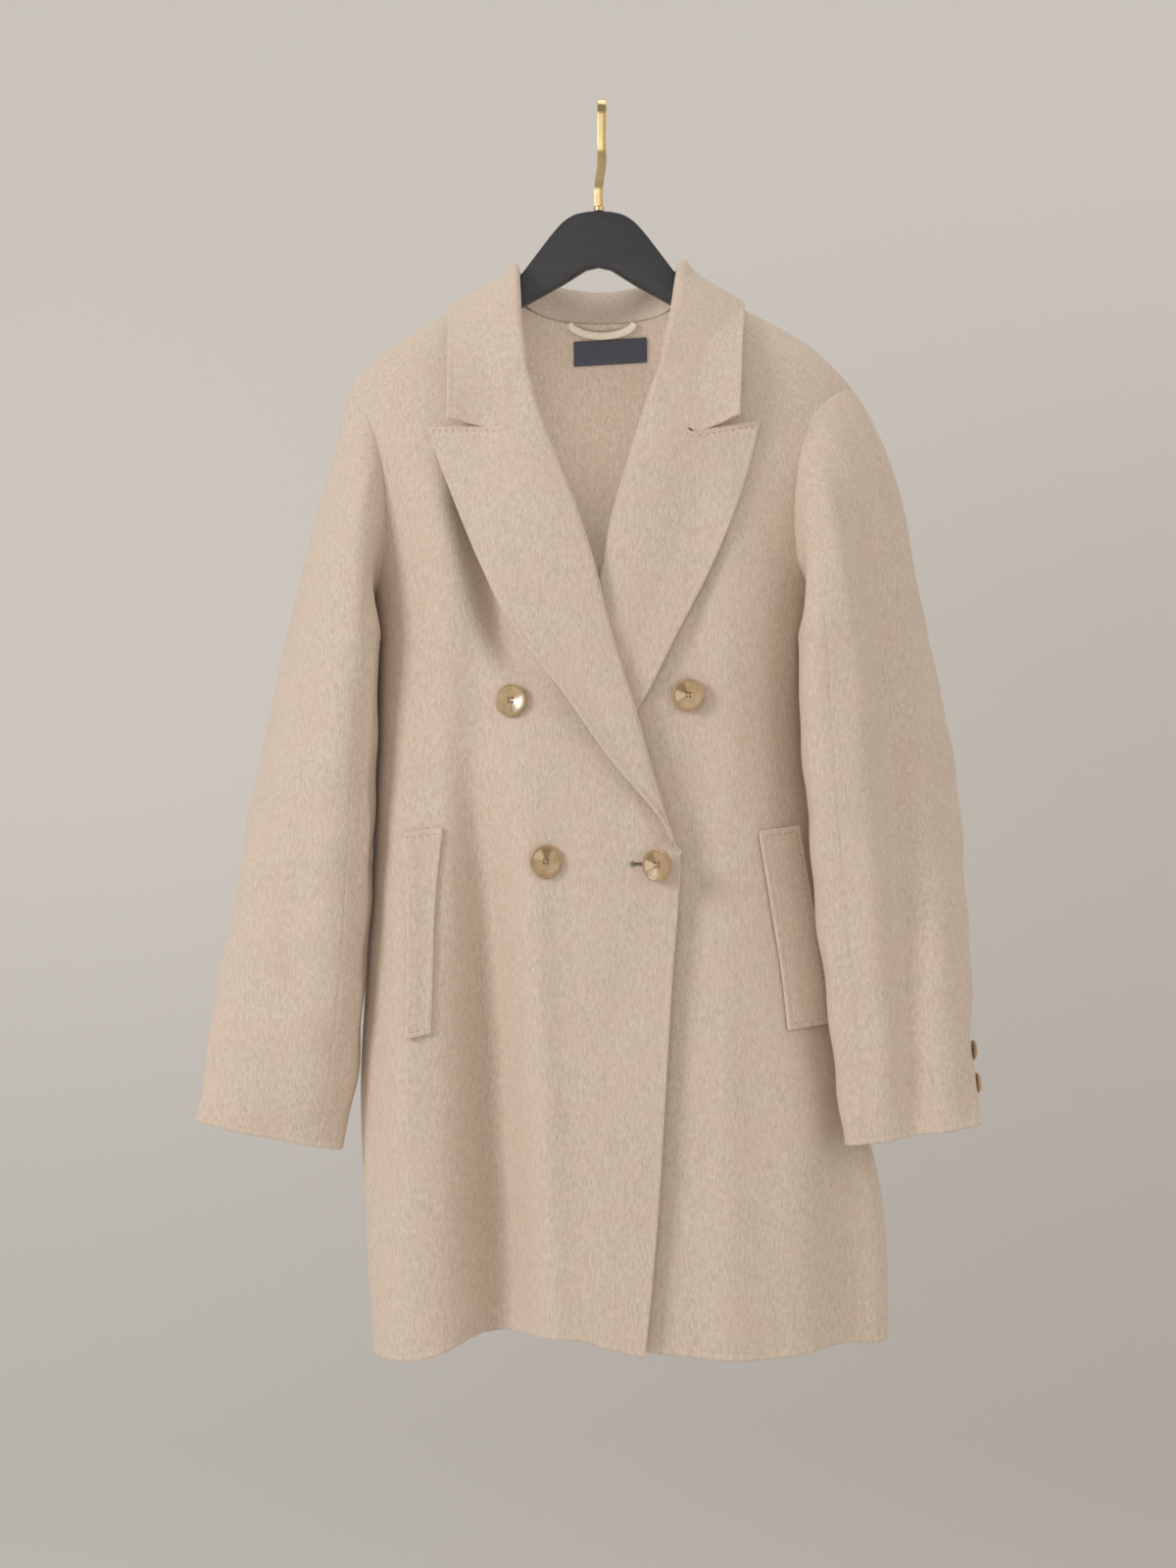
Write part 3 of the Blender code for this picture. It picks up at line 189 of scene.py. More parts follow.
# Smaller waves of the cloth: where each begins and ends, how wide it is, and how deep (+ in, - out)
WAVES = short_table(
    "side z_high x_high z_low x_low width depth",
    (-1, -0.300, -0.113, -0.470, -0.071, 0.0135, 0.0200),
    (-1, -0.330, -0.094, -0.480, -0.052, 0.0150, 0.0100),
    (-1, -0.300, -0.134, -0.520, -0.118, 0.0160, -0.0030),
    (-1, -0.560, -0.060, -1.300, -0.024, 0.0150, -0.0110),
    (-1, -0.540, -0.096, -1.300, -0.064, 0.0250, 0.0200),
    (-1, -0.520, -0.150, -1.300, -0.142, 0.0180, -0.0050),
    (-1, -0.520, -0.106, -0.660, -0.098, 0.0075, 0.0012),
    (-1, -0.500, -0.124, -0.690, -0.118, 0.0090, -0.0016),
    (-1, -0.540, -0.088, -0.640, -0.083, 0.0065, -0.0009),
    (-1, -0.430, -0.162, -1.100, -0.160, 0.0150, -0.0080),
    (-1, -0.560, 0.020, -0.625, 0.047, 0.0070, -0.0010),
    (-1, -0.640, 0.040, -0.760, 0.010, 0.0160, 0.0012),
    (-1, -0.640, -0.036, -0.800, -0.046, 0.0180, 0.0012),
    (-1, -0.700, 0.090, -0.980, 0.085, 0.0220, -0.0022),
    (-1, -0.560, 0.100, -0.760, 0.104, 0.0140, 0.0010),
    (-1, -0.300, 0.150, -0.400, 0.140, 0.0160, 0.0028),
    (-1, -0.290, -0.160, -0.380, -0.148, 0.0140, 0.0018),
    (1, -0.300, -0.150, -0.420, -0.120, 0.0160, 0.0030),
    (1, -0.300, 0.150, -0.430, 0.118, 0.0170, 0.0030),
    (1, -0.470, 0.030, -0.960, 0.036, 0.0200, -0.0024),
    (1, -0.520, -0.040, -0.980, -0.048, 0.0240, 0.0030),
    (1, -0.450, -0.150, -0.960, -0.160, 0.0180, -0.0026),
    (1, -0.430, 0.140, -0.960, 0.165, 0.0180, -0.0022),
)

# Armhole: angle of its edge round the oval section, from underarm (0) to shoulder tip (1)
ARMHOLE = short_table(
    "rise front_right front_left back",
    (0.00, 0, 0, 0),
    (0.04, 13, 17, 12),
    (0.09, 20, 27, 19),
    (0.16, 25, 32, 25),
    (0.25, 28, 35, 28),
    (0.36, 29, 36, 29),
    (0.52, 26, 33, 27),
    (0.67, 19, 24, 21),
    (0.84, 12, 14, 14),
    (1.00, 9, 9, 9),
)

# Sleeve sections, underarm to cuff: outer and inner edge, centre depth, half depth, twist and slant
RIGHT_SLEEVE = short_table(
    "z outer inner y half_depth twist slant",
    (-0.440, -0.2590, -0.1765, -0.006, 0.058, 0.043, 0.06),
    (-0.500, -0.2704, -0.1780, -0.009, 0.055, 0.038, 0.08),
    (-0.600, -0.2883, -0.1820, -0.013, 0.048, 0.028, 0.11),
    (-0.700, -0.3032, -0.1875, -0.018, 0.040, 0.016, 0.14),
    (-0.780, -0.3170, -0.1955, -0.022, 0.031, 0.009, 0.17),
    (-0.838, -0.3240, -0.2080, -0.025, 0.019, 0.004, 0.19),
)
LEFT_SLEEVE = short_table(
    "z outer inner y half_depth twist slant",
    (-0.440, 0.2722, 0.1580, -0.010, 0.056, 0.050, 0.06),
    (-0.500, 0.2847, 0.1595, -0.014, 0.053, 0.048, 0.08),
    (-0.600, 0.2930, 0.1665, -0.026, 0.046, 0.036, 0.10),
    (-0.700, 0.2965, 0.1780, -0.041, 0.037, 0.018, 0.13),
    (-0.780, 0.2940, 0.1870, -0.053, 0.027, 0.008, 0.15),
    (-0.833, 0.2996, 0.1930, -0.060, 0.015, 0.003, 0.14),
)
SLEEVE_TURN = radians(32)  # turn of its first column off the inner end
LEAVE_OUTER = {-1: -0.43, 1: 0.0}  # the right shoulder falls steeper

# Long soft folds of each sleeve: angle round the ring and height at both ends, width as an angle, depth
SLEEVE_FOLDS = short_table(
    "way z_high turn_high z_low turn_low width depth",
    (1, -0.330, 138, -0.830, 128, 16, 0.0150),
    (1, -0.300, 108, -0.800, 98, 12, -0.0020),
    (1, -0.300, 66, -0.800, 60, 14, -0.0030),
    (1, -0.330, 250, -0.780, 262, 16, 0.0060),
    (1, -0.480, 225, -0.640, 216, 14, -0.0024),
    (-1, -0.290, 70, -0.800, 62, 14, 0.0022),
    (-1, -0.420, 38, -0.760, 34, 11, 0.0040),
    (-1, -0.580, 128, -0.760, 120, 12, 0.0022),
    (-1, -0.330, 108, -0.700, 100, 16, -0.0022),
    (-1, -0.340, 252, -0.780, 262, 16, 0.0060),
    (-1, -0.480, 225, -0.640, 214, 14, -0.0024),
)

# Collar stations from the right front end round the neck to the left:
# the neckline under it, its fold, and the middle and outer edge of its fall
COLLAR = short_table(
    "seam_x seam_z fold_x fold_y fold_z mid_x mid_z outer_x outer_y outer_z",
    (-0.0600, -0.2330, -0.0545, -0.064, -0.2340, -0.0815, -0.2728, -0.1202, -0.070, -0.2670),
    (-0.0695, -0.2030, -0.0600, -0.050, -0.2050, -0.0890, -0.2280, -0.1208, -0.060, -0.2320),
    (-0.0755, -0.1760, -0.0635, -0.036, -0.1760, -0.0910, -0.1900, -0.1215, -0.040, -0.2000),
    (-0.0780, -0.1490, -0.0652, -0.009, -0.1400, -0.0920, -0.1580, -0.1220, -0.012, -0.1740),
    (-0.0740, -0.1530, -0.0640, 0.018, -0.1370, -0.0860, -0.1580, -0.1120, 0.034, -0.1840),
    (-0.0500, -0.1680, -0.0480, 0.048, -0.1380, -0.0620, -0.1680, -0.0800, 0.070, -0.2020),
    (-0.0260, -0.1730, -0.0250, 0.064, -0.1390, -0.0300, -0.1720, -0.0380, 0.079, -0.2080),
    (0.0000, -0.1740, 0.0000, 0.067, -0.1410, 0.0000, -0.1740, 0.0000, 0.081, -0.2090),
    (0.0260, -0.1730, 0.0250, 0.064, -0.1390, 0.0300, -0.1720, 0.0380, 0.079, -0.2080),
    (0.0500, -0.1680, 0.0470, 0.048, -0.1370, 0.0620, -0.1670, 0.0800, 0.070, -0.2020),
    (0.0740, -0.1530, 0.0610, 0.018, -0.1345, 0.0840, -0.1560, 0.1100, 0.034, -0.1830),
    (0.0780, -0.1490, 0.0620, -0.009, -0.1360, 0.0880, -0.1560, 0.1160, -0.012, -0.1710),
    (0.0735, -0.1780, 0.0560, -0.038, -0.1790, 0.0830, -0.1900, 0.1130, -0.042, -0.1980),
    (0.0630, -0.2040, 0.0500, -0.052, -0.2050, 0.0780, -0.2260, 0.1110, -0.060, -0.2280),
    (0.0490, -0.2330, 0.0430, -0.064, -0.2340, 0.0705, -0.2768, 0.1092, -0.070, -0.2640),
)

# Pocket welts: both edges at each height
RIGHT_WELT = short_table(
    "z left right",
    (-0.7540, -0.1520, -0.1350),
    (-0.7100, -0.1508, -0.1335),
    (-0.6500, -0.1510, -0.1310),
    (-0.5930, -0.1540, -0.1250),
)
LEFT_WELT = short_table(
    "z left right",
    (-0.7480, 0.1475, 0.1790),
    (-0.7000, 0.1420, 0.1740),
    (-0.6450, 0.1330, 0.1630),
    (-0.5920, 0.1245, 0.1540),
)
BUTTON_RADIUS = 0.0130
BUTTON_GAP = 0.0012  # from the cloth to a button's back, taken up by its shank
CUFF_BUTTON_RADIUS = 0.0082
CUFF_BUTTON_GAP = 0.0016
# Front buttons: place, the layer each is sewn to, its lean in degrees and where its pale wedge of painted
# highlight points
FRONT_BUTTONS = short_table(
    "name x z layer lean wedge",
    ("button_right_upper", -0.0700, -0.4905, "upper", 0, -0.25),
    ("button_right_lower", -0.0430, -0.6165, "upper", 0, 2.45),
    ("button_left_upper", 0.0690, -0.4858, "under", 12, 3.25),
    ("button_left_lower", 0.0444, -0.6190, "upper", 38, 3.2),
)
CUFF_BUTTON_HEIGHTS = (-0.7765, -0.8020)
# Where the cuff buttons' pale wedge of painted highlight points
CUFF_BUTTON_WEDGE = 0.8
# Where they stand round each sleeve, as angles from its inner end
CUFF_BUTTON_ANGLES = {"right": radians(218), "left": radians(183)}

# Hanger and hook
HANGER_THICK = 0.012
HANGER_EDGE = 0.0022
HANGER_TOP = short_table(
    "x z",
    (0.0000, -0.0890), (0.0110, -0.0900), (0.0200, -0.0922), (0.0290, -0.0980),
    (0.0375, -0.1072), (0.0462, -0.1184), (0.0550, -0.1300), (0.0639, -0.1416),
    (0.0740, -0.1525), (0.0900, -0.1625), (0.1200, -0.1795), (0.1600, -0.2030),
    (0.1780, -0.2180), (0.1805, -0.2260),
)
HANGER_LOWER = short_table(
    "x z",
    (0.1750, -0.2330), (0.1200, -0.2020), (0.0628, -0.1672), (0.0300, -0.1490),
    (0.0100, -0.1365),
)
HANGER_NOTCH = Place(0.0, -0.1342)
HOOK_WIDTH = 0.0072
HOOK_THICK = 0.0024
HOOK_CORNER = 0.0006
HOOK_RADIUS = 0.0133  # inner radius, over a rail
HOOK_TIP_DROP = 0.0130  # straight end behind the rail
HOOK_ASIDE = 0.0012  # the strip's jog to one side
JOG_HIGH = -0.050
JOG_LOW = -0.070
# Hook's neck from the front of the rail down to the hanger, as parts of the hook's radius in front of it
HOOK_NECK = short_table(
    "part z",
    (1.00, -0.0340), (0.96, -0.0440), (0.62, -0.0540), (0.22, -0.0620), (0.00, -0.0690),
    (0.00, -0.0842),
)
FERRULE_RADIUS = 0.0042
FERRULE_BOTTOM = -0.0886
# Profiles of the turned pieces, as radius and height in parts of the largest radius
BUTTON_PROFILE = (
    (0.00, 0.130), (0.05, 0.132), (0.12, 0.140), (0.80, 0.245), (0.83, 0.236), (0.86, 0.262), (0.92, 0.268),
    (0.97, 0.240), (0.995, 0.190), (1.00, 0.140), (0.98, 0.080), (0.92, 0.040), (0.75, 0.012), (0.40, 0.0),
    (0.0, 0.0),
)
FERRULE_PROFILE = (
    (0.0, 0.95), (0.70, 0.95), (0.88, 0.94), (0.97, 0.90), (1.0, 0.80), (1.0, 0.50), (0.94, 0.46),
    (0.94, 0.38), (1.0, 0.34), (1.0, 0.08), (0.92, 0.0), (0.0, 0.0),
)

# Hanging loop and label
LOOP_CENTRE = 0.0015
LOOP_HALF = 0.0270
LOOP_TOP = -0.1740
LOOP_DIP = 0.0095
LOOP_WIDTH = 0.0050
LOOP_OFF = 0.0045
LABEL_LEFT = -0.0215
LABEL_RIGHT = 0.0385
LABEL_LOW = -0.2065
LABEL_HIGH = -0.1872
LABEL_TILT = 0.055
LABEL_THICK = 0.0006

# Worked buttonhole: its eye, ring radius, length and the half width of its slit
EYE = Place(0.0248, -0.6185)
EYE_RADIUS = 0.0019
HOLE_LENGTH = 0.0125
HOLE_CORD = 0.00062  # radius of the sewn rim
SLIT_LENGTH = 0.013
SLIT_HALF = 0.0007

COLLAR_NOTCH = 0.066  # across the collar to its notch
PEAK_START = (0.052, 0.058)  # across the lapel to where its peak stands free
DRAWN_LENGTH = 0.024  # length over which a collar end is drawn to its lapel

# Each front's side, inner edge, hem, armhole column and shift, and its lapel's outline, notch and stand-off
FRONTS = short_table(
    "way edge hem hole shift outer notch stand_off",
    (-1, UPPER_EDGE, UPPER_HEM, "front_right", UPPER_OUT, UPPER_LAPEL, UPPER_NOTCH, 0.0075),
    (1, UNDER_EDGE, UNDER_HEM, "front_left", UNDER_IN, UNDER_LAPEL, UNDER_NOTCH, 0.0015),
)

# Grid sizes
SKIRT_ROWS = 150
CHEST_ROWS = 52
SHOULDER_ROWS = 34
FRONT_COLUMNS = 86
BACK_COLUMNS = 72
ROLL_STEPS = 9
LAPEL_COLUMNS = 40
SLEEVE_COLUMNS = 90
SLEEVE_RINGS = 110
HEAD_RINGS = 44
FRONT_SEAM = 20
HIND_SEAM = 60
COLLAR_STEPS = 15
STAND_STEPS = 8
FALL_STEPS = 30
WELT_ROWS = 70
WELT_COLUMNS = 12

# Finished edge: places in from an edge and how thick the cloth is there, as a part of its full thickness
EDGE_PLACES = (0.0, 0.0006, 0.0014, 0.0024, 0.0034, 0.0042, 0.0050, 0.0060, 0.0075, 0.0095, 0.0120)
FRONT_WIDTH = 0.24  # lengths over which the places are laid out
COLLAR_LENGTH = 1.1
FALL_WIDTH = 0.075
WELT_LENGTH = 0.16
WELT_WIDTH = 0.03
EDGE_THICK = 0.0027
GROOVE = 0.0042  # row of stitches, in from the edge
GROOVE_WIDTH = 0.0011
GROOVE_THIN = 0.72  # part of the thickness that is left in it

PITCH = 0.0056  # between pick stitches
STITCH_LENGTH = 0.0019
STITCH_RADIUS = 0.00036
PEAK_STITCH = (0.0024, 0.00062)  # length and radius of those along a peak's top
WELT_STITCH = (0.0022, 0.00050)
SINK = 0.00005  # how deep the stitches lie
LAPEL_PITCH = 1.5  # in pitches
LAPEL_SINK = 0.00028
COLLAR_PITCH = 1.3
COLLAR_SINK = 0.00022
NECK_CORD = 0.00042  # radius of the neck seam's cord
UNEVEN_PITCH = 0.07  # spread of the stitches' places, in pitches
UNEVEN_LEAN = 0.10  # spread of their slant
STITCHED = WALL * 0.80  # thickness where the stitches lie
WELT_STITCHED = WALL * 0.76
SEAMED = WALL * 0.9  # thickness of a sleeve's first rows, where it is sewn in
SEAM_ROWS = 3
FAR = 0.05  # further in than the finish of any edge
WELT_SLANT = 0.004  # rise of a welt's ends across its width
WELT_RISE = 0.0012  # gap under a welt
WELT_OPEN = 0.0024  # more gap under a welt's free edge
HOLE_OUT = 1.75  # sewing holes from a button's centre, in hole radii
PIT_DEPTH = 0.11  # depth of a sewing hole, in button radii
AHEAD = np.array([0.0, -1.0, 0.0])

# Camera, floor and lights
CAMERA = (-0.010, -2.0, -0.556)
LENS = 56.25
SENSOR = 36
FLOOR_LEVEL = -2.2
FLOOR_RADIUS = 4.2
FLOOR_BEND = 1.6  # radius of the curve from floor to wall
WALL_TOP = 3.6
SKY_COLOUR = (1.0, 0.95, 0.885, 1)
LIGHTS = short_table(
    "name place aim size power colour",
    ("key", (-3.3, -2.4, 0.85), (0.0, 0.0, -0.5), 1.3, "key", (1.0, 0.985, 0.97)),
    ("fill", (2.9, -1.9, 0.3), (0.0, 0.0, -0.6), 2.4, "fill", (1.0, 0.965, 0.92)),
    ("front", (-0.4, -3.1, 0.3), (0.0, 0.0, -0.5), 1.3, "front", (1.0, 0.985, 0.96)),
    ("top", (0.2, 0.8, 2.4), (0.0, 0.0, -0.4), 2.2, "fill", (1.0, 0.99, 0.97)),
    ("neck", (0.008, -0.055, -0.275), (0.008, 0.06, -0.275), 0.13, "neck", (1.0, 0.96, 0.90)),
)


# ---------------------------------------------------------------- tables and small maths
def smooth(table, along, value, at):
    """One column of a table as a smooth curve along another, read at the given places."""
    xs = np.array([getattr(row, along) for row in table], float)
    ys = np.array([getattr(row, value) for row in table], float)
    slopes = np.gradient(ys, xs)
    at = np.clip(at, xs[0], xs[-1])
    i = np.clip(np.searchsorted(xs, at) - 1, 0, len(xs) - 2)
    h = xs[i + 1] - xs[i]
    return cubic((at - xs[i]) / h, ys[i], ys[i + 1], slopes[i], slopes[i + 1], h)


def unit(vectors):
    """Vectors made one long."""
    return vectors / np.maximum(np.linalg.norm(vectors, axis=-1, keepdims=True), 1e-12)


def ease(value, low, high):
    """Rises from 0 at low to 1 at high, soft at both ends: 3t^2 - 2t^3."""
    t = np.clip((value - low) / (high - low), 0, 1)
    return t * t * (3 - 2 * t)


def bell(offset, width):
    """1 at no offset, falling off to both sides: exp(-(offset / width)^2)."""
    return np.exp(-((offset / width) ** 2))


def cubic(t, start, end, leave, arrive, reach):
    """Smooth curve from start to end as t goes from 0 to 1, with its slopes at both ends times a reach."""
    ends = (2 * t**3 - 3 * t**2 + 1) * start + (3 * t**2 - 2 * t**3) * end
    return ends + reach * ((t**3 - 2 * t**2 + t) * leave + (t**3 - t**2) * arrive)


def stack(*parts):
    """x, y and z arrays as one array of points."""
    return np.stack(np.broadcast_arrays(*parts), axis=-1)


def run_length(points, axis):
    """Length run along an axis of a grid of points, from its first point."""
    steps = np.linalg.norm(np.diff(points, axis=axis), axis=-1)
    pad = [(0, 0)] * steps.ndim
    pad[axis] = (1, 0)
    return np.pad(np.cumsum(steps, axis=axis), pad)


def between(line, run, at):
    """Points of a line at the given lengths run along it."""
    return np.stack([np.interp(at, run, line[:, k]) for k in range(line.shape[1])], axis=-1)


# ---------------------------------------------------------------- body form
def middle(z):
    """Centre of the section in x."""
    return (smooth(SECTIONS, "z", "right_edge", z) + smooth(SECTIONS, "z", "left_edge", z)) / 2


def half_width(z):
    """Half of the section's width."""
    return (smooth(SECTIONS, "z", "left_edge", z) - smooth(SECTIONS, "z", "right_edge", z)) / 2


def ridge(x):
    """Height of the shoulder ridge."""
    return smooth(RIDGE, "x", "z", np.abs(x))


def fold_depth(x, z, side):
    """How far the hanging folds push the front (side -1) or back (side 1) in: bells along slanting lines."""
    total = np.zeros(np.broadcast(x, z).shape)
    for fold in (row for row in FOLDS if row.side == side):
        down = np.clip((fold.top_z - z) / (fold.top_z + 1.0), 0, 1)
        place = fold.top_x + (fold.hem_x - fold.top_x) * down
        width = fold.top_width + (fold.hem_width - fold.top_width) * down
        strength = ease(down, 0, 0.9) * 0.75 + 0.25 * down
        total += fold.depth * strength * bell(x - place, width)
    return total


def wave_depth(x, z, side):
    """The smaller waves, each a bell across its line that fades towards both of its ends."""
    total = np.zeros(np.broadcast(x, z).shape)
    for wave in (row for row in WAVES if row.side == side):
        down = (wave.z_high - z) / (wave.z_high - wave.z_low)
        place = wave.x_high + (wave.x_low - wave.x_high) * down
        fade = ease(down, -0.15, 0.30) * (1 - ease(down, 0.70, 1.15))
        total += wave.depth * fade * bell(x - place, wave.width)
    return total


def unevenness(x, z):
    """Hand-made unevenness of hung cloth: three long sine waves that cross, under a millimetre high."""
    rising = np.sin(31 * x + 17 * z + 1.3)
    falling = np.sin(-53 * x + 23 * z + 0.4) * 0.7
    steep = np.sin(19 * x - 41 * z + 2.1) * 0.8
    return 0.00045 * (rising + falling + steep)


def depth(x, z, side, out=0.0, fine=True):
    """y of the body form at (x, z): front (side -1) or back (side 1), moved out by a distance.

    Full depth of the section, times an oval across it, times a quarter circle up to the ridge, less folds."""
    across = np.clip(np.abs(x - middle(z)) / (half_width(z) + out), 0, 1)
    oval = (1 - across**ROUNDNESS) ** (1 / ROUNDNESS)
    rise = np.clip((z - CHEST) / (ridge(x) + out - CHEST), 0, 1)
    closing = np.sqrt(1 - rise**2)
    full = smooth(SECTIONS, "z", "front" if side < 0 else "back", z) + out
    inward = fold_depth(x, z, side)
    if fine:
        inward = inward + (wave_depth(x, z, side) + unevenness(x, z)) * ease(closing, 0.1, 0.5)
    return side * (full * oval * closing - inward * ease(oval, 0.15, 0.75))


def rounded(angle):
    """Part of the half width at an angle round the oval: 1 at the side, 0 at the centre, then below 0."""
    c = np.cos(angle)
    return np.sign(c) * np.abs(c) ** (2 / ROUNDNESS)


def level_z(level, x, hem):
    """Height of a row: level -1 is the hem, 0 the chest and 1 the shoulder ridge."""
    below = CHEST + (CHEST - smooth(hem, "x", "z", x)) * level
    above = CHEST + (ridge(x) - CHEST) * np.sin(np.clip(level, 0, 1) * pi / 2)
    return np.where(level < 0, below, above)


def on_body(angle, level, way, hem):
    """x and z of the body form at an angle from the side seam at way and a row's level."""
    z = level_z(level, np.full(np.shape(angle), way * 0.1), hem)
    for _ in range(ROUNDS):
        x = middle(z) + way * half_width(z) * rounded(angle)
        z = level_z(level, x, hem)
    return x, z


def angle_at(x, z, way):
    """Angle round the oval from the side seam at way to the place x."""
    part = np.clip(way * (x - middle(z)) / half_width(z), -1, 1)
    return np.arccos(np.sign(part) * np.abs(part) ** (ROUNDNESS / 2))


def edge_at(level, edge, hem, short):
    """x and z where a row meets a front's inner edge, short of it by a distance towards the side."""
    z = level_z(level, np.zeros(np.shape(level)), hem)
    for _ in range(ROUNDS):
        x = smooth(edge, "z", "x", z) + short
        z = 0.5 * z + 0.5 * level_z(level, x, hem)
    return x, z


def layer_shift(x, z, way, shift):
    """Part of a layer's shift that applies: full where the fronts overlap, none at the neck."""
    return shift * ease(-way * x, *OVERLAP) * (1 - ease(z, *SHIFT_END))


def front_y(x, z, way, shift):
    """y of a front panel's middle at (x, z)."""
    return depth(x, z, -1) + layer_shift(x, z, way, shift) - SEAM


def row_levels(gorge_x):
    """Levels of the rows, hem to shoulder, close together in the turned hem."""
    gorge = np.arcsin((GORGE - CHEST) / (float(ridge(gorge_x)) - CHEST)) / (pi / 2)
    hem = np.array(EDGE_PLACES) / SKIRT_LENGTH - 1
    skirt = np.linspace(hem[-1], 0, SKIRT_ROWS + 1)[1:-1]
    chest = np.linspace(0, gorge, CHEST_ROWS + 1)
    shoulder = np.linspace(gorge, SHOULDER_LEVEL, SHOULDER_ROWS + 1)[1:]
    return np.concatenate([hem, skirt, chest, shoulder])


def edge_parts(count, length):
    """Places from 0 to 1 that close up near 1, for a finished edge on a row of the given length."""
    near = 1 - np.array(EDGE_PLACES[::-1]) / length
    return np.concatenate([np.linspace(0, near[0], count - len(near) + 1)[:-1], near])


def strip_parts(count, length):
    """Even places from 0 to 1, and closer ones at both ends for finished edges on the given length."""
    near = np.array(EDGE_PLACES) / length
    return np.unique(np.concatenate([np.linspace(0, 1, count), near, 1 - near]))


def armhole_angle(level, column):
    """Angle where a panel starts: the side seam below the chest, the armhole above it."""
    return np.radians(smooth(ARMHOLE, "rise", column, np.clip(level, 0, 1))) * (level > 0)


def edge_thickness(distance):
    """Thickness of the cloth near a finished edge, as a part of the thickest: full at the edge, thin along
    the stitched groove, then the plain cloth."""
    plain = WALL / EDGE_THICK
    puffed = plain + (1 - plain) * (1 - ease(distance, GROOVE * 0.5, GROOVE * 2))
    return puffed - (1 - GROOVE_THIN) * bell(distance - GROOVE, GROOVE_WIDTH)


# ---------------------------------------------------------------- surfaces of the coat
def front_panel(front):
    """Front from the side seam or armhole to its inner edge, as rows by columns of points."""
    way, edge, hem = front.way, front.edge, front.hem
    level = row_levels(float(smooth(edge, "z", "x", GORGE)))
    short = way * FOLD_RADIUS * ease(level_z(level, 0.0, hem), BREAK, BREAK + TURN_RISE)
    inner_x, inner_z = edge_at(level, edge, hem, short)
    start = armhole_angle(level, front.hole)[:, None]
    end = angle_at(inner_x, inner_z, way)[:, None]
    part = edge_parts(FRONT_COLUMNS, FRONT_WIDTH)[None, :]
    x, z = on_body(start + (end - start) * part, level[:, None] + 0 * part, way, hem)
    return stack(x, front_y(x, z, way, front.shift), z)


def lapel(panel, front):
    """Lapel past the panel's inner edge: an arc of the roll, then towards its outline, low on the chest.

    Each row starts at the roll line; the arc turns by 0 to half a circle over the first rise, the rest runs
    straight to the outline, and near the top the rows bend to follow the gorge and the top edge."""
    way, outer, notch, shift = front.way, front.outer, front.notch, front.shift
    inner = panel[:, -1]
    first = int(np.searchsorted(inner[:, 2], BREAK))
    last = int(np.argmin(np.abs(inner[:, 2] - GORGE)))
    x0, y0, z0 = (inner[first : last + 1, k][:, None] for k in range(3))
    part = np.clip((z0 - BREAK) / (GORGE - BREAK), 0, 1)
    laid = ease(z0, BREAK, BREAK + TURN_RISE)
    turned = pi * np.clip(laid, 0.02, 1)
    radius = FOLD_RADIUS * np.clip(laid * 1.2, 0.12, 1)
    arc = turned * (np.arange(1, ROLL_STEPS + 1) / ROLL_STEPS)[None, :]
    roll = stack(x0 - way * radius * np.sin(arc), y0 - radius * (1 - np.cos(arc)), z0 + 0 * arc)

    start_x, start_y = roll[:, -1, 0][:, None], roll[:, -1, 1][:, None]
    edge_x = smooth(outer, "part", "x", part)
    edge_z = smooth(outer, "part", "z", part)
    length = float(np.hypot(edge_x - start_x, edge_z - z0).max())
    across = edge_parts(LAPEL_COLUMNS + 1, length)[None, 1:]
    first_leg = np.clip(across / NOTCH_PART, 0, 1)
    second_leg = np.clip((across - NOTCH_PART) / (1 - NOTCH_PART), 0, 1)
    weight = ease(part, GORGE_PART, 1.0)
    straight_x = start_x + (edge_x - start_x) * across
    straight_z = z0 + (edge_z - z0) * across
    bent_x = start_x + (notch.x - start_x) * first_leg + (edge_x - notch.x) * second_leg
    bent_z = z0 + (notch.z - z0) * first_leg + (edge_z - notch.z) * second_leg
    x = straight_x + (bent_x - straight_x) * weight
    z = straight_z + (bent_z - straight_z) * weight
    rest = depth(x, z, -1, 0, False) + layer_shift(x, z, way, shift) - SEAM - LAPEL_LIFT
    rest = np.minimum(rest, front_y(x, z, way, shift) - 0.6 * LAPEL_LIFT)
    off = front.stand_off * np.sin(pi * part) ** 0.8 * across**1.5
    swell = LAPEL_SWELL * np.sin(pi * np.clip(across * 1.6, 0, 1)) * ease(part, 0.05, 0.3)
    y = start_y + (rest - off - start_y) * ease(across, 0.0, 0.5) - swell
    y = np.minimum(y, rest)
    flat = stack(x, y, z)
    reach = np.hypot(edge_x - start_x, edge_z - z0) * across
    free = stack(start_x - way * reach * np.cos(turned), start_y - reach * np.sin(turned), straight_z)
    return np.concatenate([roll, free + (flat - free) * laid[:, :, None]], axis=1), first


def back_panel(way):
    """Half of the back, from its side seam and armhole to the centre back seam, as rows by columns."""
    level = row_levels(0.05)[:, None]
    start = armhole_angle(level, "back")
    part = np.linspace(0, 1, BACK_COLUMNS + 1)[None, :]
    angle = start + (pi / 2 - start) * part
    rows = level + 0 * part
    for _ in range(ROUNDS // 3):
        x, z = on_body(angle, rows, way, BACK_HEM)
        neck = smooth(BACK_NECK, "x", "z", np.abs(x))
        top = np.where(np.abs(x) < NECK_POINT, (neck - CHEST) / (ridge(x) - CHEST), 1.0)
        rows = np.where(level > 0, level * np.arcsin(np.clip(top, 0, 1)) / (pi / 2), level)
    seam = 0.0011 * bell(part - 1, 0.012)
    return stack(x + way * SEAM * 0.4, depth(x, z, 1) + SEAM - seam, z)


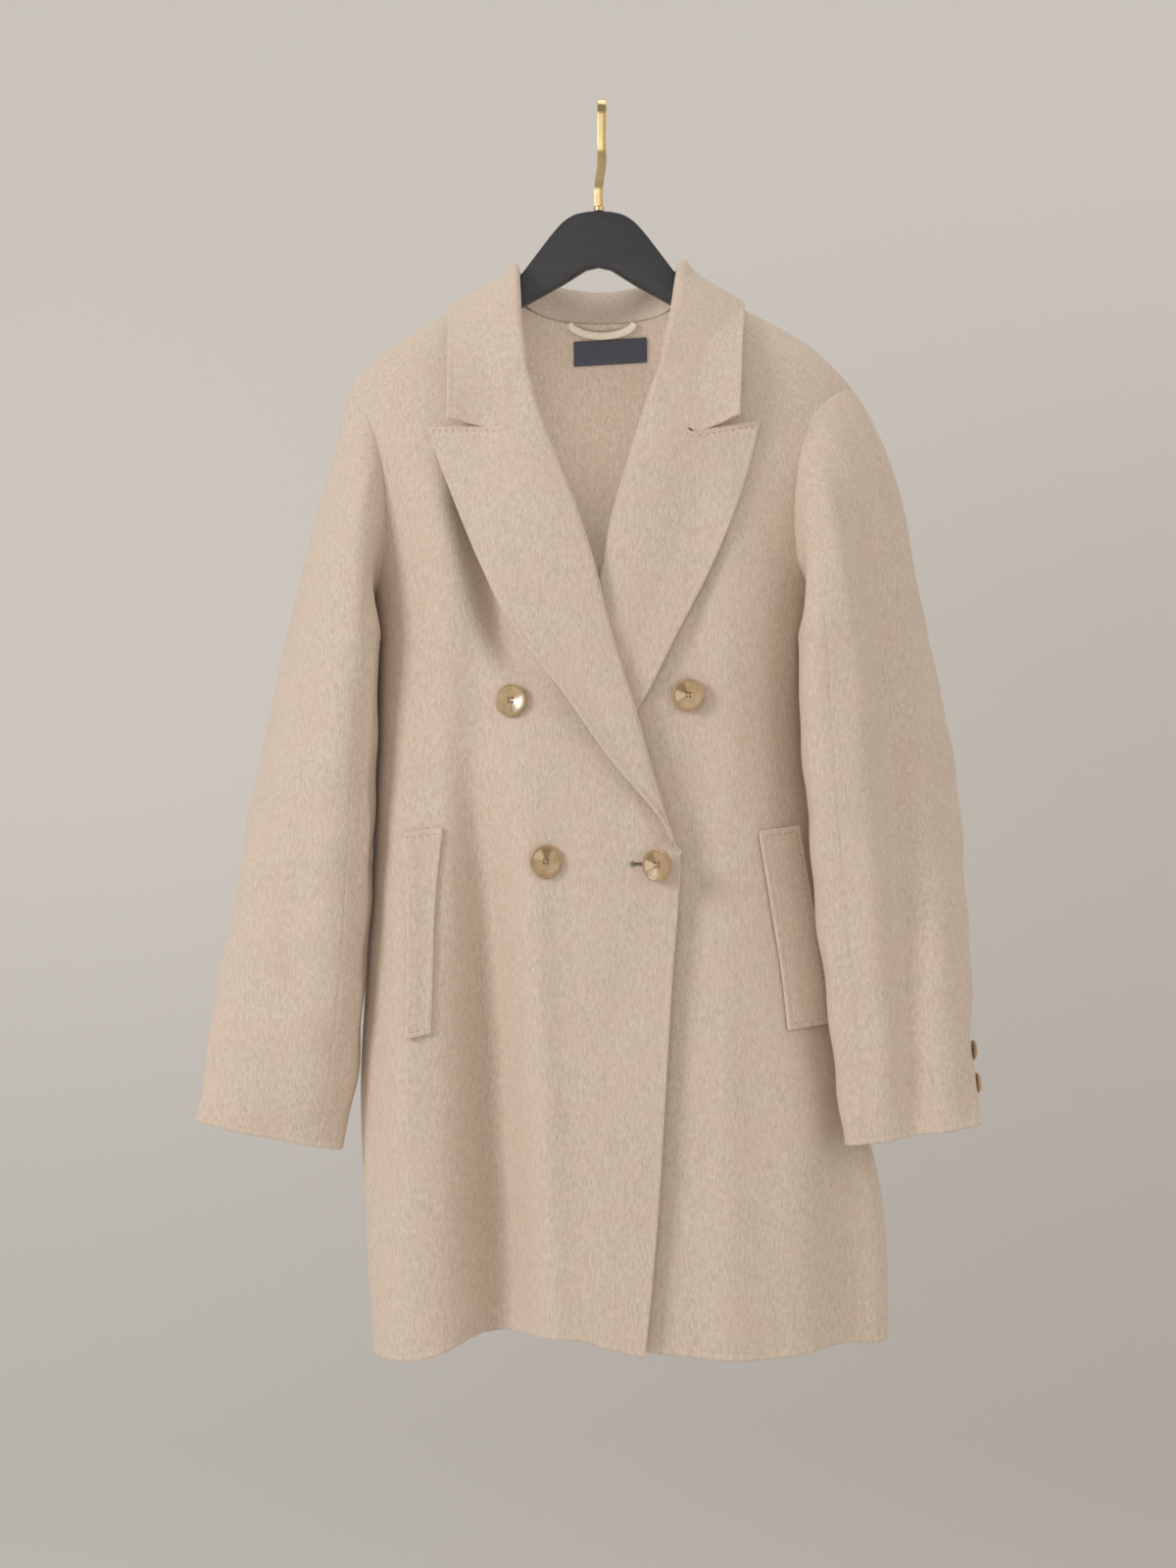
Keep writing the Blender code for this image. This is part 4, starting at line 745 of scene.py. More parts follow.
def armhole_points(way, column, hem, count, side):
    """Points up one side of the armhole, underarm to shoulder tip, evenly spaced."""
    level = np.linspace(0, SHOULDER_LEVEL, 121)
    x, z = on_body(armhole_angle(level, column), level, way, hem)
    line = stack(x, depth(x, z, side) + side * SEAM, z)
    run = run_length(line, 0)
    return between(line, run, np.linspace(0, run[-1], count))


def sleeve_ring(table, z, angle, way):
    """Ring of a sleeve at height z: an oval with its inner end turned forward and its outer end higher."""
    columns = ("outer", "inner", "y", "half_depth", "twist", "slant")
    outer, inner, centre_y, half_depth, twist, slant = (smooth(table[::-1], "z", key, z) for key in columns)
    across = np.cos(angle)
    x = (outer + inner) / 2 + (inner - outer) / 2 * across
    y = centre_y - half_depth * np.sin(angle) - twist * across
    return stack(x, y, z + slant * way * (x - (outer + inner) / 2))


def sleeve(way, table, column, hem):
    """Whole sleeve as rings by columns: from the armhole in a smooth bend to the ovals below the underarm."""
    half = SLEEVE_COLUMNS // 2
    front = armhole_points(way, column, hem, half + 1, -1)
    back = armhole_points(way, "back", BACK_HEM, half + 1, 1)
    hole = np.concatenate([front, back[::-1][1:]])
    hole[half] = (front[-1] + back[-1]) / 2
    hole[0] = hole[-1] = (front[0] + back[0]) / 2
    angle = np.linspace(0, 2 * pi, SLEEVE_COLUMNS + 1)[None, :]
    top = table[0].z
    first = sleeve_ring(table, np.array([[top]]), angle - SLEEVE_TURN, way)[0]
    reach = np.linalg.norm(first - hole, axis=1)[:, None]
    across = np.cos(angle[0])
    beside = np.clip(across, 0, 1) ** 2
    outer = np.clip(-across, 0, 1) ** 2
    # directions in which the cloth leaves the armhole and arrives at the first oval
    aside = way * (0.30 + 0.28 * across**2 + 0.5 * beside + LEAVE_OUTER[way] * outer)
    leave = unit(stack(aside, -0.65 * np.sin(angle[0]), 0.3 * beside - 0.72))
    arrive = np.array([way * 0.14, 0.0, -1.0])
    hole = hole + leave * (0.0007 + WALL / 2 * beside[:, None])
    t = np.linspace(0, 1, HEAD_RINGS + 1)[:-1, None, None]
    head = cubic(t, hole, first, leave, arrive, reach)
    low = table[-1].z
    near = low + np.array(EDGE_PLACES)[::-1]
    heights = np.concatenate([np.linspace(top, near[0], SLEEVE_RINGS - len(near) + 1)[:-1], near])[:, None]
    grid = np.concatenate([head, sleeve_ring(table, heights, angle - SLEEVE_TURN, way)])
    return sleeve_folds(grid, angle, way)


def sleeve_folds(grid, angle, way):
    """The sleeve's long folds, pushed along its outward normal: bells round the ring along slanting lines.

    Added to them are the fullness round the sleeve's head, sine waves below it, and a slow unevenness."""
    out = normals(grid) * -way
    out[:, -1] = out[:, 0]
    turn = np.degrees(angle)
    z = grid[:, :, 2].mean(axis=1)[:, None]
    t = np.arange(len(grid))[:, None] / HEAD_RINGS
    push = np.zeros(grid.shape[:2])
    for fold in (row for row in SLEEVE_FOLDS if row.way == way):
        down = (fold.z_high - z) / (fold.z_high - fold.z_low)
        place = fold.turn_high + (fold.turn_low - fold.turn_high) * down
        gap = (turn - place + 180) % 360 - 180
        fade = ease(down, -0.10, 0.25) * (1 - 0.45 * ease(down, 0.75, 1.1))
        push -= fold.depth * fade * ease(t, 0.05, 0.6) * bell(gap, fold.width)
    fullness = 0.0011 * np.sin(turn * pi / 180 * 13 + 0.6) * ease(t, 0.03, 0.2) * (1 - ease(t, 0.25, 0.6))
    fullness = fullness * bell(turn - 180, 60)
    drag = 0.0008 * np.sin(z * 95 + turn * pi / 180 * 2.0 + way) * ease(t, 1.0, 1.6)
    uneven = 0.0006 * (np.sin(turn * pi / 60 + z * 29 + way) + np.sin(turn * pi / 36 - z * 47))
    push = push + fullness + (drag + uneven) * ease(t, 0.3, 1.0)
    push[:, -1] = push[:, 0]
    return grid + out * push[:, :, None]


def normals(grid):
    """Unit normals of a grid of points, from its differences along both ways."""
    return unit(np.cross(np.gradient(grid, axis=1), np.gradient(grid, axis=0)))


def lift_clear(points, out):
    """Moves points that lie within the body form, made larger by out, straight out onto it."""
    x, y, z = np.moveaxis(points, -1, 0)
    chest = np.full(x.shape, CHEST)
    full = np.where(y < 0, -depth(x, chest, -1, out, False), depth(x, chest, 1, out, False))
    rise = np.clip((z - CHEST) / (ridge(x) + out - CHEST), 0, None)
    size = (y / full) ** 2 + rise**2
    grow = np.where(size < 1, 1 / np.sqrt(np.maximum(size, 1e-9)), 1.0)
    return stack(x, y * grow, CHEST + (z - CHEST) * grow)


def nearest(points, line):
    """For each point, the nearest point on a polyline: each segment's own nearest, then the best of them."""
    start, step = line[:-1], np.diff(line, axis=0)
    size = np.maximum((step**2).sum(axis=-1), 1e-12)
    part = np.clip(((points[:, None] - start) * step).sum(axis=-1) / size, 0, 1)
    found = start + part[:, :, None] * step
    best = np.argmin(((found - points[:, None]) ** 2).sum(axis=-1), axis=1)
    return found[np.arange(len(points)), best]


def drawn_to(grid, line):
    """Grid with its first row drawn up to another cloth's edge, less a seam, fading over the rows beside."""
    across = nearest(grid[0], line) - grid[0]
    far = np.linalg.norm(across, axis=-1)
    beyond = run_length(grid[:1], 1)[0] - COLLAR_NOTCH
    share = np.clip(1 - SEAM / np.maximum(far, SEAM), 0, 1) * (1 - ease(far, 0.006, 0.012))
    share = share * (1 - 0.55 * ease(beyond, 0.0, 0.012))
    fade = 1 - ease(run_length(grid, 0), 0.0, DRAWN_LENGTH)
    return grid + fade[:, :, None] * (across * share[:, None])[None]


def collar_surface():
    """Collar as stations by places across: up the stand, half a circle round the fold, down the fall."""
    columns = COLLAR[0]._fields
    spots = short_table(("at",) + columns, *((k, *row) for k, row in enumerate(COLLAR)))
    spans = len(COLLAR) - 1
    place = strip_parts(COLLAR_STEPS * spans + 1, COLLAR_LENGTH) * spans
    row = {column: smooth(spots, "at", column, place) for column in columns}
    fold = stack(row["fold_x"], row["fold_y"], row["fold_z"])
    x, z = row["seam_x"], row["seam_z"]
    y = np.where(fold[:, 1] > 0, depth(x, z, 1, 0, False) + SEAM, depth(x, z, -1, 0, False) - SEAM)
    seam = stack(x, y, z)
    up = unit(fold - seam)
    away = unit(np.cross(up, np.gradient(fold, axis=0)))
    seam = seam + up * COLLAR_GAP
    turn = fold - up * FOLD_RADIUS
    t = np.linspace(0, 1, STAND_STEPS + 1)[None, :, None]
    stand = seam[:, None] + (turn - seam)[:, None] * t
    a = (pi * np.arange(1, ROLL_STEPS + 1) / ROLL_STEPS)[None, :, None]
    centre = turn + away * FOLD_RADIUS
    roll = centre[:, None] + FOLD_RADIUS * (up[:, None] * np.sin(a) - away[:, None] * np.cos(a))
    start = roll[:, -1][:, None]
    outer = stack(row["outer_x"], row["outer_y"], row["outer_z"])[:, None]
    mid = stack(row["mid_x"], (row["fold_y"] + row["outer_y"]) / 2, row["mid_z"])[:, None]
    across = edge_parts(FALL_STEPS + 1, FALL_WIDTH)[None, 1:, None]
    first = np.clip(across * 2, 0, 1)
    second = np.clip(across * 2 - 1, 0, 1)
    fall = start + (mid - start) * first + (outer - mid) * second
    soft = 0.25 * across * (1 - across) * 4 * ease(np.abs(across - 0.5), 0.25, 0.0)
    fall = fall + (start * 0.25 + outer * 0.25 - mid * 0.5) * soft
    fall = lift_clear(fall, COLLAR_LIFT)
    grid = np.concatenate([stand, roll, fall], axis=1)
    for front in FRONTS:
        panel = front_panel(front)
        line = np.concatenate([panel[-1:, -1], lapel(panel, front)[0][-1]])
        grid = drawn_to(grid[:: -front.way], line)[:: -front.way]
    return grid


def welt(table, way, shift):
    """Pocket welt lying on the front: the front's own surface moved out along its slope."""
    z = table[0].z + (table[-1].z - table[0].z) * strip_parts(WELT_ROWS, WELT_LENGTH)[:, None]
    part = strip_parts(WELT_COLUMNS, WELT_WIDTH)[None, :]
    left = smooth(table, "z", "left", z)
    right = smooth(table, "z", "right", z)
    x = left + (right - left) * part
    z = z + WELT_SLANT * (part - 0.5)
    step = 0.0005
    slope = (front_y(x + step, z, way, shift) - front_y(x - step, z, way, shift)) / (2 * step)
    free = part if way > 0 else 1 - part
    out = (WALL + WELT_RISE + WELT_OPEN * ease(free, 0.3, 1.0)) / np.sqrt(1 + slope**2)
    return stack(x + slope * out, front_y(x, z, way, shift) - out, z)


def inset_line(grid, distance):
    """The line on a grid at a distance in from the end of its rows, with the outward normals there."""
    run = run_length(grid[:, ::-1], 1)
    place = np.clip((run < distance).sum(axis=1), 1, grid.shape[1] - 1)
    rows = np.arange(len(grid))
    before, after = run[rows, place - 1], run[rows, place]
    t = ((distance - before) / np.maximum(after - before, 1e-9))[:, None]
    flipped, facing = grid[:, ::-1], normals(grid)[:, ::-1]
    line = flipped[rows, place - 1] * (1 - t) + flipped[rows, place] * t
    return line, unit(facing[rows, place - 1] * (1 - t) + facing[rows, place] * t)


# ---------------------------------------------------------------- meshes
def grid_faces(index):
    """Quads over a grid of point numbers."""
    return np.stack([index[:-1, :-1], index[:-1, 1:], index[1:, 1:], index[1:, :-1]], axis=-1).reshape(-1, 4)


def numbered(grid, first=0):
    """Point numbers of a grid of points."""
    return np.arange(grid.shape[0] * grid.shape[1]).reshape(grid.shape[:2]) + first


def wrapped(index):
    """Point numbers of a grid with its first column repeated as its last, so that it closes round."""
    return np.concatenate([index, index[:, :1]], axis=1)


def fan(row, centre):
    """Quads from a closed row of point numbers to one centre point, which each repeats."""
    middles = np.full(len(row) - 1, centre)
    return np.stack([row[:-1], row[1:], middles, middles], axis=-1)


def compact(points, quads):
    """Points that faces use, and the faces' new numbers."""
    used, numbers = np.unique(quads, return_inverse=True)
    return points[used], numbers.reshape(quads.shape)


def turned_round(grid):
    """Closed skin over rings of points, with its first and last rings drawn into one point each."""
    index = numbered(grid)
    index[0], index[-1] = index[0, 0], index[-1, 0]
    return compact(grid.reshape(-1, 3), grid_faces(wrapped(index))[:, ::-1])


def point_normals(points, quads):
    """Normals of the points, summed from the quads' crossed diagonals."""
    corners = points[quads]
    facing = np.cross(corners[:, 2] - corners[:, 0], corners[:, 3] - corners[:, 1])
    total = np.zeros_like(points)
    for k in range(4):
        np.add.at(total, quads[:, k], facing)
    return unit(total)


def closed_wall(points, quads, thick):
    """An open surface made a wall: its two sides half the thickness out and in along the normals, and every
    open edge closed by a half round. Quads may repeat a point. Gives the points and the faces."""
    out = point_normals(points, quads)
    half = (np.broadcast_to(thick, len(points)) / 2)[:, None]
    ahead = np.concatenate([quads[:, [k, (k + 1) % 4]] for k in range(4)])
    ahead = ahead[ahead[:, 0] != ahead[:, 1]]
    code = ahead[:, 0] * len(points) + ahead[:, 1]
    edges = ahead[~np.isin(code, ahead[:, 1] * len(points) + ahead[:, 0])]
    run = unit(points[edges[:, 1]] - points[edges[:, 0]])
    off = np.zeros_like(points)
    for k in range(2):
        np.add.at(off, edges[:, k], np.cross(run, out[edges[:, k]]))
    rim = np.unique(edges)
    rank = np.zeros(len(points), int)
    rank[rim] = np.arange(len(rim))
    outward = unit(off[rim])
    layers = [points + out * half, points - out * half]
    rounds = 3
    for k in range(1, rounds + 1):
        a = pi * k / (rounds + 1)
        layers.append(points[rim] + half[rim] * (outward * np.sin(a) * 0.8 + out[rim] * np.cos(a)))
    count = len(points)
    firsts = [edges] + [2 * count + k * len(rim) + rank[edges] for k in range(rounds)] + [edges + count]
    faces = [quads, quads[:, ::-1] + count]
    for a, b in zip(firsts[:-1], firsts[1:]):
        faces.append(np.stack([a[:, 1], a[:, 0], b[:, 0], b[:, 1]], axis=-1))
    return np.concatenate(layers), np.concatenate(faces)


def new_object(name, data):
    """Object with its data, linked to the scene."""
    made = bpy.data.objects.new(name, data)
    bpy.context.scene.collection.objects.link(made)
    return made


def settle(made, slot, replaces=()):
    """Puts a piece on its body, in place of the nodes that it stands for; its slot is not used."""
    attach(made, "root")
    if replaces:
        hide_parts(*replaces)
    return made


def add_piece(name, points, quads, finish, slot, replaces=()):
    """Mesh object at the origin from points and quads, some of which may repeat a point, shaded smooth."""
    mesh = bpy.data.meshes.new(name)
    same = (quads == np.roll(quads, -1, axis=1)).any(axis=1)
    faces = quads[~same].tolist()
    faces += [list(dict.fromkeys(face)) for face in quads[same].tolist() if len(set(face)) > 2]
    mesh.from_pydata(points.tolist(), [], faces)
    mesh.validate()
    mesh.shade_smooth()
    mesh.materials.append(finish)
    return settle(new_object(name, mesh), slot, replaces)


def add_cloth(name, grid, thick, replaces, finish=None, slot="wool"):
    """Piece of cloth from a grid of points and its thickness, one for all or one for each of them."""
    wall = closed_wall(grid.reshape(-1, 3), grid_faces(numbered(grid)), np.reshape(thick, -1))
    return add_piece(name, *wall, finish or wool(), slot, replaces)


def tube(path, radius, sides=8):
    """Round tube along a path: circles across it, squared to it by a steady side direction, capped."""
    ahead = unit(np.gradient(path, axis=0))
    side = unit(np.cross(ahead, np.array([0.03, 0.99, 0.05])))
    up = np.cross(side, ahead)
    a = 2 * pi * np.arange(sides) / sides
    ring = side[:, None] * np.cos(a)[None, :, None] + up[:, None] * np.sin(a)[None, :, None]
    points = path[:, None] + ring * np.broadcast_to(radius, len(path))[:, None, None]
    index = wrapped(numbered(points))
    count = len(path) * sides
    faces = [grid_faces(index)[:, ::-1], fan(index[0], count), fan(index[-1], count + 1)[:, ::-1]]
    return np.concatenate([points.reshape(-1, 3), path[[0, -1]]]), np.concatenate(faces)


def joined(parts):
    """Several point and face arrays as one."""
    points, faces, start = [], [], 0
    for p, f in parts:
        points.append(p)
        faces.append(f + start)
        start += len(p)
    return np.concatenate(points), np.concatenate(faces)


def stitches(lines, length=STITCH_LENGTH, radius=STITCH_RADIUS, pitch=PITCH, sink=SINK):
    """Pick stitches along lines on the cloth: small spindles a pitch apart, sunk to the surface.

    A spindle is a half round bulge along the thread times a circle across it. A line is points, normals."""
    rings, sides = 5, 6
    s = np.linspace(-1, 1, rings)[:, None]
    a = 2 * pi * np.arange(sides) / sides
    bulge = np.sqrt(np.clip(1.02 - s**2, 0, 1))
    shape = stack(s * length / 2, bulge * np.cos(a) * radius, bulge * np.sin(a) * radius)
    index = wrapped(numbered(shape))
    skin = [grid_faces(index)] + [fan(row, row[0]) for row in (index[0], index[-1][::-1])]
    skin = np.concatenate(skin)
    shape = shape.reshape(-1, 3)
    parts = []
    seeded = np.random.default_rng(7)
    for line, facing in lines:
        run = run_length(line, 0)
        at = np.arange(pitch / 2, run[-1], pitch)
        at = np.clip(at + seeded.normal(0, pitch * UNEVEN_PITCH, len(at)), 0, run[-1])
        centre = between(line, run, at)
        normal = unit(between(facing, run, at))
        ahead = unit(between(line, run, at + 0.001) - centre + 1e-9)
        lean = seeded.normal(0, UNEVEN_LEAN, len(at))[:, None]
        ahead = unit(ahead + unit(np.cross(normal, ahead)) * lean)
        spots = (centre - normal * sink)[:, None]
        for k, direction in enumerate((ahead, np.cross(normal, ahead), normal)):
            spots = spots + direction[:, None] * shape[None, :, k, None]
        faces = skin[None] + (np.arange(len(at)) * len(shape))[:, None, None]
        parts.append((spots.reshape(-1, 3), faces.reshape(-1, 4)))
    return joined(parts)


# ---------------------------------------------------------------- shader maths
class Value:
    """A socket that adds Math nodes when it is used in an expression."""

    def __init__(self, tree, socket):
        self.tree = tree
        self.socket = socket

    def node(self, kind, inputs=(), output=0, **settings):
        """Adds a node of a kind, makes its settings, then links or sets its inputs, and gives one output."""
        made = self.tree.nodes.new(kind)
        for key, setting in settings.items():
            setattr(made, key, setting)
        pairs = inputs.items() if isinstance(inputs, dict) else enumerate(inputs)
        for key, given in pairs:
            if isinstance(given, Value):
                self.tree.links.new(given.socket, made.inputs[key])
            elif given is not None:
                made.inputs[key].default_value = given
        return Value(self.tree, made.outputs[output])

    def math(self, operation, *others):
        return self.node("ShaderNodeMath", [self, *others], operation=operation)

    def __add__(self, other):
        return self.math("ADD", other)

    __radd__ = __add__

    def __mul__(self, other):
        return self.math("MULTIPLY", other)

    __rmul__ = __mul__

    def __sub__(self, other):
        return self.math("SUBTRACT", other)

    def __rsub__(self, other):
        return self.node("ShaderNodeMath", [other, self], operation="SUBTRACT")

    def __truediv__(self, other):
        return self.math("DIVIDE", other)

    def __pow__(self, other):
        return self.math("POWER", other)

    def between(self, low, high):
        """0 below low to 1 above high, soft at both ends."""
        inputs = {"Value": self, "From Min": low, "From Max": high}
        return self.node("ShaderNodeMapRange", inputs, interpolation_type="SMOOTHSTEP")

    def mix(self, low, high):
        """Colour from low to high by this value."""
        return self.node("ShaderNodeMix", {0: self, 6: low, 7: high}, 2, data_type="RGBA")

    def noise(self, scale, detail=2.0, stretch=(1, 1, 1), rough=0.5):
        """Noise over this vector, which is stretched first."""
        moved = self.node("ShaderNodeMapping", {"Vector": self, "Scale": tuple(scale * s for s in stretch)})
        inputs = {"Vector": moved, "Scale": 1.0, "Detail": detail, "Roughness": rough}
        return self.node("ShaderNodeTexNoise", inputs)

    def split(self, axis):
        """One number of this vector."""
        return self.node("ShaderNodeSeparateXYZ", [self], output=axis)


def linear(red, green, blue):
    """Screen colour from 0 to 255 as light."""
    part = np.array([red, green, blue]) / 255
    low, high = part / 12.92, ((part + 0.055) / 1.055) ** 2.4
    return tuple(float(v) for v in np.where(part <= 0.04045, low, high)) + (1.0,)


def opaque(colour):
    """Colour of three numbers as a shader's colour."""
    return tuple(colour) + (1.0,)


def new_material(name, **fixed):
    """Principled material with fixed values, its shader and a starting value on Object coordinates."""
    made = bpy.data.materials.new(name)
    made.use_nodes = True
    tree = made.node_tree
    shader = tree.nodes["Principled BSDF"]
    for key, value in fixed.items():
        shader.inputs[key.replace("_", " ")].default_value = value
    place = Value(tree, tree.nodes.new("ShaderNodeTexCoord").outputs["Object"])
    return made, shader, place


def feed(shader, place, **links):
    """Links worked-out values to the shader's sockets; bump is (height, strength, distance)."""
    for key, value in links.items():
        if key == "bump":
            value = place.node("ShaderNodeBump", dict(zip(("Height", "Strength", "Distance"), value)))
            key = "Normal"
        place.tree.links.new(value.socket, shader.inputs[key.replace("_", " ")])


def wool():
    """Brushed wool: soft mottling, fine nap that runs down the coat, and scattered dark and pale fibres."""
    if "brushed_wool" in bpy.data.materials:
        return bpy.data.materials["brushed_wool"]
    cloth = bpy.context.scene.coat_cloth
    made, shader, place = new_material(
        "brushed_wool", Roughness=0.92, Specular_IOR_Level=0.18, Sheen_Weight=0.22, Sheen_Roughness=0.55,
        Sheen_Tint=(1.0, 0.93, 0.86, 1.0),
    )
    cloud = place.noise(34, 3.0)
    felt = place.noise(500, 3.0, (1, 1, 0.36), 0.6)
    nap = place.noise(1050, 2.0, (1, 1, 0.16), 0.55)
    hair = place.noise(1700, 1.0, (1, 1, 0.30), 0.5)
    fleck = place.noise(800, 2.0, (1, 1, 0.26), 0.6)
    pile = (felt * 0.55 + nap * 0.45).between(0.34, 0.66)
    base = pile.mix(opaque(cloth.shade_colour), opaque(cloth.light_colour))
    base = (cloud.between(0.42, 0.72) * 0.30).mix(base, opaque(cloth.warm_colour))
    base = (fleck.between(0.60, 0.72) * cloth.flecks).mix(base, opaque(cloth.fleck_colour))
    pale = place.noise(860, 2.0, (1, 1, 0.24), 0.6)
    base = (pale.between(0.60, 0.74) * 0.40).mix(base, opaque(cloth.pale_colour))
    height = felt * 0.6 + nap * 0.7 + hair * 0.25
    feed(shader, place, Base_Color=base, bump=(height, cloth.nap, 0.0007))
    return made


def thread():
    """Sewing thread: wool colour, twisted, made darker as painted shade of the small dimples that the
    stitches pull into the cloth.
    """
    if "thread" in bpy.data.materials:
        return bpy.data.materials["thread"]
    cloth = bpy.context.scene.coat_cloth
    made, shader, place = new_material("thread", Roughness=0.75, Specular_IOR_Level=0.25)
    ply = place.noise(900, 1.0)
    base = ply.between(0.3, 0.7).mix(opaque(cloth.thread_colour), opaque(cloth.shade_colour))
    feed(shader, place, Base_Color=base, bump=(ply, 0.4, 0.0002))
    return made


def horn(name, centre, across, upward, turn):
    """Polished horn: a pale wedge of painted highlight and a dark wedge of painted shade from the centre, as
    light falls on a dished face, cloudy grain, and a darker rim line.

    The angle round the button comes from its own two directions across and upward."""
    colours = bpy.context.scene.coat_buttons
    made, shader, place = new_material(
        name, Roughness=0.22, Specular_IOR_Level=0.55, Coat_Weight=0.35, Coat_Roughness=0.12
    )

    def along(direction):
        """Distance from the centre in a direction."""
        offset = place.node("ShaderNodeVectorMath", [place, tuple(centre)], operation="SUBTRACT")
        inputs = [offset, tuple(direction)]
        return offset.node("ShaderNodeVectorMath", inputs, output=1, operation="DOT_PRODUCT")

    x, y = along(across), along(upward)
    radius = (x * x + y * y) ** 0.5
    angle = y.math("ARCTAN2", x)
    cloud = place.noise(160, 3.0)
    streak = place.noise(420, 2.0, (1, 1, 0.3))

    def wedge(direction, half, soft):
        """1 within an angle of a direction, which fades over a soft edge."""
        away = (angle - direction + pi).math("FLOORED_MODULO", 2 * pi) - pi
        return 1 - away.math("ABSOLUTE").between(half - soft, half + soft)

    size = float(np.linalg.norm(across)) * BUTTON_RADIUS
    # Colour of the painted shade wedge, also used for the darker rim line
    deep = opaque(colours.deep_colour)
    inside = 1 - (radius / size).between(0.76, 0.82)
    grain = (cloud * 0.6 + streak * 0.4).between(0.3, 0.7)
    base = grain.mix(opaque(colours.dark_colour), opaque(colours.light_colour))
    # Painted highlight: the pale wedge; painted shade: the dark wedge beside it, both on the dish only
    base = (wedge(turn, 0.42, 0.10) * inside * 0.60).mix(base, opaque(colours.shine_colour))
    base = (wedge(turn - 0.95, 0.40, 0.12) * inside * 0.62).mix(base, deep)
    ring = (radius / size).between(0.80, 0.84) * (1 - (radius / size).between(0.86, 0.92))
    base = (ring * 0.40).mix(base, deep)
    feed(shader, place, Base_Color=base, bump=(cloud, 0.04, 0.0003))
    return made


def plain(name, colour, scale, contrast, stretch=(1, 1, 1), bump=0.2, distance=0.0003, **fixed):
    """Finish with fine variation: noise between two near shades, and the same noise as bump."""
    if name in bpy.data.materials:
        return bpy.data.materials[name]
    made, shader, place = new_material(name, **fixed)
    grain = place.noise(scale, 3.0, stretch)
    dark = opaque(c * (1 - contrast) for c in colour[:3])
    light = opaque(min(1.0, c * (1 + contrast)) for c in colour[:3])
    feed(shader, place, Base_Color=grain.between(0.3, 0.7).mix(dark, light), bump=(grain, bump, distance))
    return made


# ---------------------------------------------------------------- values that a user may change
def colour_value(name, text, red, green, blue):
    """Colour property with its default from a screen colour."""
    default = linear(red, green, blue)[:3]
    return bpy.props.FloatVectorProperty(
        name=name, description=text, subtype="COLOR", size=3, min=0, max=1, default=default
    )


def number_value(name, text, default, unit="NONE"):
    """Number property that is never below 0."""
    return bpy.props.FloatProperty(name=name, description=text, default=default, min=0, unit=unit)


class CoatCloth(bpy.types.PropertyGroup):
    """Cloth of the coat."""

    light_colour: colour_value("Light", "Lit colour of the wool", 225, 210, 195)
    shade_colour: colour_value("Shade", "Deeper colour of the wool", 205, 188, 171)
    warm_colour: colour_value("Warm", "Warmer patches", 221, 198, 180)
    pale_colour: colour_value("Pale", "Pale fibres", 240, 226, 208)
    fleck_colour: colour_value("Fleck", "Dark fibres", 150, 134, 120)
    # Darker than the wool: partly the thread, partly painted shade of the dimples at each pick stitch
    thread_colour: colour_value("Thread", "Pick stitches", 142, 120, 98)
    flecks: number_value("Flecks", "How strong the dark fibres are", 0.34)
    nap: number_value("Nap", "Height of the nap", 0.55)
    pitch: number_value("Stitch pitch", "Distance between pick stitches", PITCH, "LENGTH")


class CoatButtons(bpy.types.PropertyGroup):
    """Buttons."""

    light_colour: colour_value("Light", "Light horn", 196, 168, 128)
    dark_colour: colour_value("Dark", "Darker horn", 172, 142, 104)
    # Painted highlight and painted shade on the buttons' dished faces; the dark one also colours the rim line
    shine_colour: colour_value("Pale wedge", "Pale wedge of the horn", 232, 215, 182)
    deep_colour: colour_value("Dark wedge", "Dark wedge of the horn", 120, 92, 62)
    hole_radius: number_value("Hole", "Radius of a sewing hole", 0.00085, "LENGTH")


class CoatHanger(bpy.types.PropertyGroup):
    """Hanger and hook."""

    body_colour: colour_value("Body", "Lacquer of the hanger", 50, 51, 54)
    hook_colour: colour_value("Hook", "Brass of the hook", 214, 190, 142)


class CoatStudio(bpy.types.PropertyGroup):
    """Floor, backdrop and lights."""

    backdrop_colour: colour_value("Backdrop", "Pale floor and backdrop", 210, 207, 203)
    key: number_value("Key", "Power of the large light at one side", 70, "POWER")
    fill: number_value("Fill", "Power of the fill lights", 23, "POWER")
    front: number_value("Front", "Power of the light beside the camera", 7, "POWER")
    neck: number_value("Neck", "Power of the lamp in the neck", 0.085, "POWER")
    sky: number_value("Sky", "Strength of the even light", 0.335)


# ---------------------------------------------------------------- operators
def edge_run(grid, axis, flip=False):
    """Length run in from an edge of a grid: from its first row or column, or from its last when flipped."""
    turned = np.flip(grid, axis) if flip else grid
    run = run_length(turned, axis)
    return np.flip(run, axis) if flip else run


